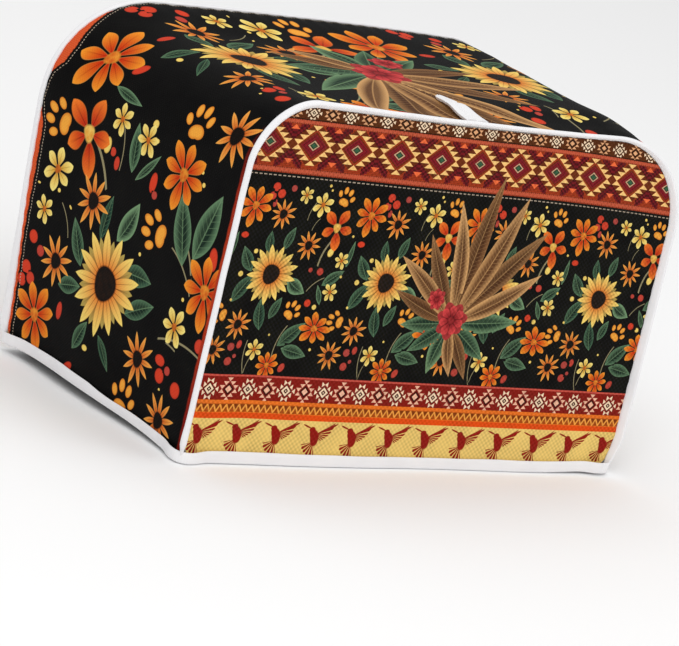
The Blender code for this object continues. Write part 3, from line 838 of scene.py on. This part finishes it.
def floralPaint(tree, ground):
    # soft: how crisp a motif's edge is
    soft = 16.0
    colour = paintStems(tree, ground, "stems", paint(150, 140, 104), soft)
    colour = paintLeaves(tree, colour, "leaves", paint(30, 70, 56), paint(128, 164, 120), soft, 0.22)
    colour = paintBerries(tree, colour, "berries", soft)
    for layer in ("orangeFlowers", "lilies", "smallSunflowers", "blossoms"):
        colour = paintFlower(tree, colour, layer, flowerLooks[layer], soft)
    colour = paintPaws(tree, colour, "paws", soft)
    return paintFlower(tree, colour, "sunflowers", flowerLooks["sunflowers"], soft * 1.5)


def sprayPaint(tree, colour):
    # the large spray lies over the flowers and over the band above them
    soft, tan, brown = 16.0, paint(222, 170, 110), paint(112, 66, 36)
    dark, light = paint(30, 74, 58), paint(132, 166, 120)
    colour = paintLeaves(tree, colour, "sprayGreens", dark, light, soft, 0.3, 7.0)
    dark, light = scaled(brown, 0.9), scaled(tan, 0.75)
    colour = paintLeaves(tree, colour, "plumesBehind", dark, light, soft, 0.5, 17.0, 0.9)
    colour = paintLeaves(tree, colour, "plumesInFront", brown, tan, soft, 0.6, 17.0, 0.9)
    return paintFlower(tree, colour, "roses", flowerLooks["roses"], soft)


def gussetStrips(tree, colour, u, v):
    ink = bandLook
    # beside the front seam a red strip that fades out towards the corner, with painted shade darkening it
    # where the cloth turns into the seam fold
    strip = blendPaint(tree, v.ramp(20.0, 60.0) * v.ramp(170.0, -60.0), ink["darkRed"], ink["seamRed"])
    # painted shade: the strip darkened over its last 1.6 mm towards the seam fold
    strip = blendPaint(tree, u.ramp(87.6, 1.6) * 0.6, strip, scaled(ink["darkRed"], 0.3))
    colour = blendPaint(tree, u.ramp(84.6, 0.9) * v.ramp(185.0, -40.0), colour, strip)
    # beside the back seam it is narrow low down, widest at the upper left corner and gone on the top
    edge = v.ramp(60.0, 40.0) * 2.2 + v.ramp(140.0, 36.0) * 3.6 - v.ramp(176.0, 36.0) * 9.0 - 3.4
    # and it slips out of sight for a little where the end bends into the corner
    fromEdge = u - (edge - v.ramp(128.0, 14.0) * v.ramp(166.0, -8.0) * 6.0)
    stitches = (fromEdge + 82.0).size().less(0.35) * v.wave(1.8).less(0.55)
    colour = blendPaint(tree, stitches, colour, ink["dash"])
    return sawStrip(tree, colour, v, fromEdge, -98.0, -84.4, 2.4, ink["stripStrong"], ink["saw"])


def newMaterial(name):
    made = bpy.data.materials.new(name)
    made.use_nodes = True
    return made, made.node_tree, made.node_tree.nodes["Principled BSDF"].inputs


def weaveBump(tree, inputs, height, strength, distance):
    bump = tree.nodes.new("ShaderNodeBump")
    bump.inputs["Strength"].default_value = strength
    bump.inputs["Distance"].default_value = distance
    tree.links.new(height.socket, bump.inputs["Height"])
    tree.links.new(bump.outputs[0], inputs["Normal"])


def printedMaterial(name, bands, pitch, depth, strength):
    made, tree, inputs = newMaterial(name)
    uMetres, vMetres, _, place = readField(tree, "clothPlace")
    u, v = uMetres * 1000.0, vMetres * 1000.0
    colour = bands(tree, floralPaint(tree, bandLook["ground"]), u, v)
    colour, dots = wovenPaint(tree, sprayPaint(tree, colour), u, v, place, pitch, depth)
    tree.links.new(colour, inputs["Base Color"])
    weaveBump(tree, inputs, dots, strength, 0.00025)
    inputs["Roughness"].default_value = 0.62
    inputs["Specular IOR Level"].default_value = 0.04
    return made


def plainCloth(name, colour, shade, pitch, strength, roughness):
    # woven tape or backing: fine ribs, and a little unevenness in tone
    made, tree, inputs = newMaterial(name)
    uMetres, vMetres, _, place = readField(tree, "clothPlace")
    ribs = (uMetres * 1000.0).wave(pitch) * 0.7 + (vMetres * 1000.0).wave(pitch * 1.3) * 0.3
    cloudy = ((noiseField(tree, place, 45.0, 3.0) - 0.35) * 1.6).held() * 0.6
    base = blendPaint(tree, cloudy, colour, shade)
    base = blendPaint(tree, ribs * 0.10, base, scaled(shade, 0.75))
    tree.links.new(base, inputs["Base Color"])
    weaveBump(tree, inputs, ribs, strength, 0.0002)
    inputs["Roughness"].default_value = roughness
    inputs["Sheen Weight"].default_value = 0.1
    return made


# weave: pitch in mm, how dark its dots are, and its relief
panelPrint = printedMaterial("panelPrint", frontBands, 1.5, 0.34, 0.6)
gussetPrint = printedMaterial("gussetPrint", gussetStrips, 1.0, 0.12, 0.35)
backing = plainCloth("clothBacking", paint(206, 203, 198), paint(186, 184, 182), 0.9, 0.3, 0.85)
whiteTape = plainCloth("whiteTape", paint(244, 243, 244), paint(226, 226, 230), 0.7, 0.35, 0.7)
print("materials made")


def finishPiece(made, body, node):
    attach(made, body)
    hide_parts(node)
    return made


# printed panels
panelLook = {
    "rows": 66, "arcRows": 34, "columns": 128, "foot": 0.0013, "edge": 0.0012, "soften": 0.00028,
    "pucker": 0.00022, "puckerPitch": 0.0085, "puckerDepth": 0.006, "drawIn": 0.0100}
printLook = {
    "top": 0.178, "right": 0.03, "rightRun": 0.108, "rightSag": 0.0049, "left": 0.02, "leftRun": 0.09,
    "leftSag": 0.0010, "stretch": 0.075, "stretchFrom": 0.022, "footLift": 0.0012, "foot": 0.112,
    "footRun": 0.028, "footHeight": 0.1}
# the cloth is drawn in over this height where the hem tape is folded round it
drawInRun = 0.001


def printPlace(u, v):
    # the print's place on the cloth: it sags a little towards the ends and draws together at the upper right
    look = printLook
    high = v / look["top"]
    right = np.maximum(0.0, u - look["right"]) / look["rightRun"]
    left = np.maximum(0.0, -look["left"] - u) / look["leftRun"]
    lowLeft = ease((-u - look["foot"]) / look["footRun"]) * np.maximum(0.0, 1.0 - v / look["footHeight"])
    sag = (look["rightSag"] * right ** 2 + look["leftSag"] * left ** 2) * high ** 1.5
    newV = v + sag + look["footLift"] * lowLeft
    newU = u + look["stretch"] * np.maximum(0.0, u + look["stretchFrom"]) * high ** 2.5
    return np.stack([newU, newV], axis=-1)


def panelPiece(name, share, outward, node, seed):
    look = panelLook
    inset = reach + look["edge"]
    counts = (look["rows"], look["arcRows"], 4)
    x, z, outX, outZ = outline(share, inset, look["foot"], counts)
    lift = seamValue("front" if outward < 0 else "back", "lift", stationsOf(counts)) / 1000
    x, z = x + outX * lift, z + outZ * lift
    rows = look["rows"] + look["arcRows"] + 1
    leftX, leftZ = x[:rows], z[:rows]
    rightX, rightZ = x[::-1][:rows], z[::-1][:rows]
    along = np.linspace(0.0, 1.0, look["columns"])
    across = mix(leftX[:, None], rightX[:, None], along)
    up = mix(leftZ[:, None], rightZ[:, None], along)
    hemTop = cover["hemHeight"] * hemShare(across, outward * seamY)
    across = across * (1.0 - look["drawIn"] * ease((hemTop + drawInRun - up) / drawInRun))
    if outward > 0:
        across, up = across[:, ::-1], up[:, ::-1]
    points = laid(across, np.full_like(across, outward * seamY), up)
    toSeam = np.minimum(np.minimum(across - leftX[:, None], rightX[:, None] - across), leftZ.max() - up)
    unevenly = 2.0 * softNoise(across, up, 0.05, seed)
    ripple = np.sin(2 * np.pi * (across + up) / look["puckerPitch"] + unevenly)
    depth = look["pucker"] * ripple * np.exp(-np.maximum(toSeam, 0.0) / look["puckerDepth"])
    depth = depth + look["soften"] * softNoise(across, up, 0.07, seed + 1) * ease(up / 0.03)
    points = points + normalsOf(points) * (depth - look["pucker"])[..., None]
    place = printPlace(across * -outward, up)
    made = clothSheet(name, points, place, cover["cloth"], [panelPrint, backing], frontMotifs)
    return finishPiece(made, "root", node)


frontCloth = panelPiece("frontPanelCloth", 0.0, -1.0, "front_panel", 11)
backCloth = panelPiece("backPanelCloth", 1.0, 1.0, "back_panel", 23)
print("panels made")

# printed gusset: up the left end, over the top and down the right end
gussetLook = {
    "counts": (62, 26, 84), "columns": 80, "edge": 0.0008, "foot": 0.0013, "soften": 0.0007,
    "pucker": 0.0003, "puckerPitch": 0.0095, "puckerDepth": 0.007, "drawIn": 0.0225}
# how far the cloth bulges between the seams, in mm, by the same places along the outline as the seam tables
gussetCrown = ((0.0, 0.0), (2.4, 0.0), (3.0, 1.6), (3.4, 5.2), (3.8, 4.0), (4.2, 0.5), (5.0, 0.0))
# the bulge's share from the back seam, 0, to the front seam, 1
gussetSwell = (
    (0.0, 0.0), (0.15, 0.75), (0.3, 1.0), (0.55, 0.93), (0.65, 1.02), (0.78, 1.35), (0.88, 1.3),
    (0.94, 0.95), (1.0, 0.0))


def gussetPiece():
    look = gussetLook
    half = seamY - look["edge"]
    yLine = np.linspace(half, -half, look["columns"])
    stations = stationsOf(look["counts"])
    frontLift, backLift = [seamValue(edge, "lift", stations) / 1000 for edge in ("front", "back")]
    crown = smoothed(readTable(gussetCrown, stations) / 1000, 13)
    columns = []
    for share, level in zip(np.linspace(1.0, 0.0, look["columns"]), yLine):
        x, z, outX, outZ = outline(share, reach, look["foot"], look["counts"])
        toFront = ease(1.0 - (level + seamY) / seamBlend["front"])
        toBack = ease(1.0 - (seamY - level) / seamBlend["back"])
        swell = readTable(gussetSwell, (half - level) / (2.0 * half))
        lift = frontLift * toFront + backLift * toBack + crown * swell
        columns.append(np.stack([x + outX * lift, z + outZ * lift], axis=-1))
    shape = np.stack(columns, axis=1)
    x, z = shape[..., 0], shape[..., 1]
    y = np.broadcast_to(yLine, x.shape)
    hemTop = cover["hemHeight"] * hemShare(x, y)
    y = y * (1.0 - look["drawIn"] * ease((hemTop + drawInRun - z) / drawInRun))
    points = laid(x, y, z)
    step = np.hypot(np.diff(x, axis=0), np.diff(z, axis=0))
    length = np.concatenate([np.zeros((1, x.shape[1])), np.cumsum(step, axis=0)])
    toSeam = half - np.abs(y)
    ripple = np.sin(2 * np.pi * length / look["puckerPitch"] + 2.0 * softNoise(y, length, 0.06, 5))
    depth = look["pucker"] * ripple * np.exp(-toSeam / look["puckerDepth"])
    upright = ease((cover["height"] - 0.04 - z) / 0.05) * ease(z / 0.02)
    depth = depth + look["soften"] * softNoise(y, length, 0.08, 8) * upright
    points = points + normalsOf(points) * (depth - look["pucker"])[..., None]
    place = np.stack([-y, length], axis=-1)
    made = clothSheet("gussetCloth", points, place, cover["cloth"], [gussetPrint, backing], gussetMotifs)
    return finishPiece(made, "root", "gusset")


gussetCloth = gussetPiece()
print("gusset made")


def loftedTape(name, points, place, closedRun, node):
    # closed profiles along a run; an open run gets shrunken profiles as its ends
    if not closedRun:
        for end in (0, -1):
            middle = points[end].mean(axis=0)
            caps = [middle + (points[end] - middle) * share for share in (0.75, 0.02)]
            placeEnd = [place[end]] * 2
            if end == 0:
                points, place = np.stack(caps[::-1] + list(points)), np.stack(placeEnd + list(place))
            else:
                points, place = np.stack(list(points) + caps), np.stack(list(place) + placeEnd)
    else:
        points, place = np.concatenate([points, points[:1]]), np.concatenate([place, place[-1:]])
    rows, columns = points.shape[:2]
    faces = gridFaces(rows, columns, 0, False, closed=True)
    flat = points.reshape(-1, 3)
    if closedRun:
        faces = np.where(faces >= (rows - 1) * columns, faces - (rows - 1) * columns, faces)
        flat = flat[:(rows - 1) * columns]
        place = place[:-1]
    made = meshFrom(name, flat, faces, [whiteTape])
    cornerField(made.data, "clothPlace", place.reshape(-1, 2)[faces])
    return finishPiece(made, "root", node)


# seam bindings: folded tape that stands out of the seam, the back one nearly straight back
bindingLook = {
    "counts": (96, 44, 130), "around": 22, "squareness": 0.62, "wobble": 0.00018, "wobbleRun": 0.03,
    "uneven": 0.05, "unevenRun": 0.05, "plump": 0.14, "thickest": 1.15, "foot": 0.0042,
    "ringLength": 0.016, "rightNarrowing": 0.28, "rightRun": 0.012}
# the tape's width as a share, by the distance from its foot
footShape = ((0.0, 0.42), (0.0035, 0.72), (0.0065, 1.12), (0.0095, 1.22), (0.016, 1.06), (0.024, 1.0))


def bindingPiece(name, share, outward, node, seed):
    look = bindingLook
    x, z, outX, outZ = outline(share, reach, look["foot"], look["counts"])
    step = np.concatenate([[0.0], np.cumsum(np.hypot(np.diff(x), np.diff(z)))])
    fromFoot = np.minimum(step, step[-1] - step)
    stations = stationsOf(look["counts"])
    swell = readTable(footShape, fromFoot)
    # on the right the tape narrows to its foot instead
    narrow = 1.0 - look["rightNarrowing"] * np.exp(-(fromFoot / look["rightRun"]) ** 2)
    swell = np.where(stations > 2.5, np.minimum(swell, narrow), swell)
    turn = np.linspace(0.0, 2 * np.pi, look["around"], endpoint=False)
    edge = "front" if outward < 0 else "back"
    inner, outer, thick, lift = [
        seamValue(edge, key, stations)[:, None] / 1000 for key in ("inner", "outer", "thick", "lift")]
    lean = np.radians(seamValue(edge, "lean", stations))[:, None]
    middle, half = (inner + outer) / 2, (outer - inner) / 2
    alongTape = signedPower(np.cos(turn), look["squareness"])
    acrossTape = signedPower(np.sin(turn), look["squareness"])
    # thickest two thirds of the way out, where the folded tape is softest
    plump = 1.0 - look["plump"] + look["plump"] * np.clip(alongTape + 0.4, -1.0, 1.0)
    wobble = look["wobble"] * softNoise(step, 0.0, look["wobbleRun"], seed)
    longer = 1.0 + look["uneven"] * softNoise(step, 0.0, look["unevenRun"], seed + 3)
    along = middle + half * alongTape[None, :]
    along = np.where(along > 0, along * (swell * longer)[:, None], along * np.minimum(swell, 1.0)[:, None])
    thicker = np.minimum(swell, look["thickest"])
    across = thick * (acrossTape * plump)[None, :] * thicker[:, None] + wobble[:, None]
    out = lift + along * np.sin(lean) + across * np.cos(lean)
    away = along * np.cos(lean) - across * np.sin(lean)
    points = laid(
        x[:, None] + outX[:, None] * out, outward * (seamY + away), z[:, None] + outZ[:, None] * out)
    ring = np.broadcast_to(np.linspace(0.0, look["ringLength"], look["around"]), out.shape)
    place = np.stack([np.broadcast_to(step[:, None], out.shape), ring], axis=-1)
    if outward > 0:
        points, place = points[:, ::-1], place[:, ::-1]
    return loftedTape(name, points[:, ::-1], place[:, ::-1], False, node)


frontBinding = bindingPiece("frontBindingTape", 0.0, -1.0, "front_binding", 31)
backBinding = bindingPiece("backBindingTape", 1.0, 1.0, "back_binding", 47)
print("seam bindings made")

# hem binding: tape folded round the raw lower edge, fuller at the corners over the seam bindings' feet
hemLook = {
    "cornerRadius": 0.0032, "corner": 14, "end": 110, "front": 170, "bulge": 0.0024,
    "bulgeWidth": 0.0065, "rightCorner": 1.4, "wobble": 0.000154, "wobbleRun": 0.035, "uneven": 0.05,
    "unevenRun": 0.045, "highest": 0.0083}
# out from the cloth's middle and up from the lower edge, in mm
hemProfile = (
    (2.05, 7.3), (2.16, 5.6), (2.14, 3.4), (2.05, 1.4), (1.75, 0.45), (1.1, 0.05), (0.0, 0.0),
    (-1.1, 0.05), (-1.75, 0.45), (-2.05, 1.4), (-2.1, 4.0), (-2.05, 7.3), (-1.8, 7.9), (-1.4, 7.9),
    (-1.1, 7.3), (-1.08, 1.5), (-0.8, 1.15), (0.8, 1.15), (1.08, 1.5), (1.1, 7.3), (1.4, 7.9), (1.8, 7.9))


def hemPiece():
    look = hemLook
    halfX = cover["length"] / 2 - reach - cover["cloth"] / 2
    halfY = seamY - cover["cloth"] / 2
    radius = look["cornerRadius"]
    runs, normals, corners = [], [], []
    for signX, signY, start, count, run in (
            (1, -1, -90, look["end"], 2 * halfY), (1, 1, 0, look["front"], 2 * halfX),
            (-1, 1, 90, look["end"], 2 * halfY), (-1, -1, 180, look["front"], 2 * halfX)):
        angle = np.radians(start + np.linspace(0.0, 90.0, look["corner"], endpoint=False))
        centre = np.array([signX * (halfX - radius), signY * (halfY - radius)])
        facing = np.stack([np.cos(angle), np.sin(angle)], axis=-1)
        runs.append(centre + radius * facing)
        normals.append(facing)
        turned = math.radians(start + 90.0)
        outward = np.array([math.cos(turned), math.sin(turned)])
        along = np.array([-math.sin(turned), math.cos(turned)])
        distance = np.linspace(0.0, run - 2 * radius, count, endpoint=False)
        runs.append(centre + radius * outward + along * distance[:, None])
        normals.append(np.broadcast_to(outward, (count, 2)))
        corners.append(centre)
    path, facing = np.concatenate(runs), np.concatenate(normals)
    step = np.concatenate([[0.0], np.cumsum(np.hypot(*np.diff(path, axis=0).T))])
    toCorner = np.min([np.hypot(*(path - c).T) for c in corners], axis=0)
    bulge = look["bulge"] * np.exp(-np.maximum(toCorner - radius, 0.0) ** 2 / look["bulgeWidth"] ** 2)
    bulge = bulge * np.where((path[:, 0] > 0) & (path[:, 1] < 0), look["rightCorner"], 1.0)
    profile = np.array(hemProfile) / 1000
    out, up = profile[:, 0], profile[:, 1]
    wobble = look["wobble"] * softNoise(step, 0.0, look["wobbleRun"], 61)
    outerLeg = np.clip(out / 0.001, 0.0, 1.0)
    offset = out[None, :] + outerLeg[None, :] * (bulge + wobble)[:, None]
    taller = 1.0 + look["uneven"] * softNoise(step, 0.0, look["unevenRun"], 67)
    height = up[None, :] * taller[:, None]
    height = np.minimum(height, look["highest"]) * hemShare(path[:, 0], path[:, 1])[:, None]
    x = path[:, 0:1] + facing[:, 0:1] * offset
    y = path[:, 1:2] + facing[:, 1:2] * offset
    points = laid(x, y, height)
    around = np.concatenate([[0.0], np.cumsum(np.hypot(*np.diff(profile, axis=0).T))])
    place = np.stack(np.broadcast_arrays(step[:, None], around[None, :]), axis=-1)
    return loftedTape("hemBindingTape", points, place, True, "hem_binding")


hemTape = hemPiece()
print("hem made")

# hanging loop: tape folded into two legs side by side
loopLook = {
    "x": -0.0025, "length": 0.0445, "turn": math.radians(-7.0), "thick": 0.0014, "rows": 60, "columns": 25,
    "slit": 0.045, "tipShare": 0.80, "tipRun": 0.08, "seamLift": 2.2, "notch": 0.0008, "notchAt": 0.66,
    "crease": 0.0006, "creaseAt": 0.64, "creaseRun": 0.03, "dome": 0.00045, "groove": 0.0009,
    "edge": 0.0004}
# along the loop: width to the left and to the right of its middle and height over the cloth, in mm
loopSections = (
    (0.00, 7.4, 8.0, 0.0), (0.20, 6.8, 7.6, 0.6), (0.45, 5.7, 7.0, 2.0), (0.58, 5.2, 6.6, 1.9),
    (0.66, 4.8, 4.6, 1.4), (0.80, 4.4, 4.0, 0.5), (0.92, 3.8, 3.4, 0.1), (0.97, 2.9, 2.6, 0.0),
    (1.00, 1.3, 1.2, 0.0))


def loopPiece():
    look = loopLook
    share = np.linspace(0.0, 1.0, look["rows"])
    leftWidth, rightWidth, lift = [readTable(loopSections, share, k) / 1000 for k in (1, 2, 3)]
    lift = smoothed(lift, 9)
    column = signedPower(np.linspace(-1, 1, look["columns"]), 1.25)
    across = column[None, :] * np.where(column[None, :] < 0, leftWidth[:, None], rightWidth[:, None])
    # a small notch in the right edge where the right leg is creased
    notch = look["notch"] * np.exp(-((share - look["notchAt"]) / look["creaseRun"]) ** 2)
    across = across - notch[:, None] * np.clip(column, 0.0, 1.0)[None, :] ** 4
    domed = look["dome"] * (1.0 - (2.0 * np.abs(column) - 1.0) ** 2)
    groove = look["groove"] * np.exp(-(column / look["slit"]) ** 2)
    closedTip = ease((share - look["tipShare"]) / look["tipRun"])
    crease = look["crease"] * np.exp(-((share - look["creaseAt"]) / look["creaseRun"]) ** 2)
    height = lift[:, None] + domed[None, :] - groove[None, :] * (1.0 - closedTip)[:, None]
    height = height - crease[:, None] * (0.4 + 0.6 * np.clip(column, 0.0, 1.0))[None, :]
    along = (share * look["length"])[:, None]
    c, s = math.cos(look["turn"]), math.sin(look["turn"])
    x = look["x"] + across * c - along * s
    y = -seamY + cover["seamSetback"] + cover["gap"] + along * c + across * s * share[:, None]
    seamLift = 0.001 * look["seamLift"] * ease(1.0 - (y + seamY) / seamBlend["front"])
    z = cover["height"] - reach + cover["gap"] + look["thick"] + height + seamLift
    points = laid(x, y, z)
    rows, columns = points.shape[:2]
    faces = gridFaces(rows, columns, 0, False)
    made = meshFrom("hangLoopTape", points.reshape(-1, 3), faces, [whiteTape])
    place = np.stack([across, np.broadcast_to(along, across.shape)], axis=-1)
    cornerField(made.data, "clothPlace", place.reshape(-1, 2)[faces])
    shell = made.modifiers.new("thickness", "SOLIDIFY")
    shell.thickness = look["thick"]
    shell.offset = -1.0
    soft = made.modifiers.new("softEdge", "BEVEL")
    soft.width = look["edge"]
    soft.segments = 3
    soft.angle_limit = math.radians(50)
    return finishPiece(made, "root", "hang_loop")


hangLoop = loopPiece()
print("loop made")

# floor, light and camera
floorLook = {"half": 14.0, "gap": 0.0002, "paint": (0.98, 0.98, 0.98, 1.0), "roughness": 0.9}
floorMesh = bpy.data.meshes.new("floor")
half = floorLook["half"]
floorMesh.from_pydata(
    [(-half, -half, 0), (half, -half, 0), (half, half, 0), (-half, half, 0)], [], [(0, 1, 2, 3)])
floor = bpy.data.objects.new("floor", floorMesh)
floor.location = (0.0, 0.0, hemLevel - floorLook["gap"])
bpy.context.scene.collection.objects.link(floor)
floorPaint, _, floorInputs = newMaterial("floorPaint")
floorInputs["Base Color"].default_value = floorLook["paint"]
floorInputs["Roughness"].default_value = floorLook["roughness"]
floorMesh.materials.append(floorPaint)

world = bpy.data.worlds.new("studio")
world.use_nodes = True
world.node_tree.nodes["Background"].inputs[0].default_value = (1.0, 1.0, 1.0, 1.0)
world.node_tree.nodes["Background"].inputs[1].default_value = 0.62
bpy.context.scene.world = world

studioLights = (
    {"name": "keyLight", "at": (-1.3, -1.9, 1.9), "size": 1.5, "power": 27.0},
    {"name": "topLight", "at": (0.3, 0.4, 2.4), "size": 1.8, "power": 15.0},
    {"name": "fillLight", "at": (1.6, -1.7, 0.8), "size": 1.4, "power": 6.0},
)
for item in studioLights:
    data = bpy.data.lights.new(item["name"], "AREA")
    data.energy, data.size = item["power"], item["size"]
    lamp = bpy.data.objects.new(item["name"], data)
    lamp.location = item["at"]
    lamp.rotation_euler = (Vector((0.0, 0.0, -0.1)) - Vector(item["at"])).to_track_quat("-Z", "Y").to_euler()
    bpy.context.scene.collection.objects.link(lamp)

view = {"azimuth": math.radians(-38.639), "elevation": math.radians(13.943), "roll": math.radians(13.424),
        "focal": 5810.2, "distance": 3.2511, "target": Vector((0.00803, 0.0, -0.14393)), "imageWidth": 679.0}
backward = Vector((math.sin(view["azimuth"]) * math.cos(view["elevation"]),
                   -math.cos(view["azimuth"]) * math.cos(view["elevation"]), math.sin(view["elevation"])))
rightward = (-backward).cross(Vector((0.0, 0.0, 1.0))).normalized()
upward = rightward.cross(-backward)
rolledRight = math.cos(view["roll"]) * rightward + math.sin(view["roll"]) * upward
rolledUp = -math.sin(view["roll"]) * rightward + math.cos(view["roll"]) * upward
cameraData = bpy.data.cameras.new("camera")
cameraData.sensor_width = 36.0
cameraData.lens = view["focal"] / view["imageWidth"] * cameraData.sensor_width
camera = bpy.data.objects.new("camera", cameraData)
turned = Matrix((rolledRight, rolledUp, backward)).transposed()
camera.matrix_world = Matrix.Translation(view["target"] + backward * view["distance"]) @ turned.to_4x4()
bpy.context.scene.collection.objects.link(camera)
bpy.context.scene.camera = camera
bpy.context.scene.view_settings.view_transform = "Standard"
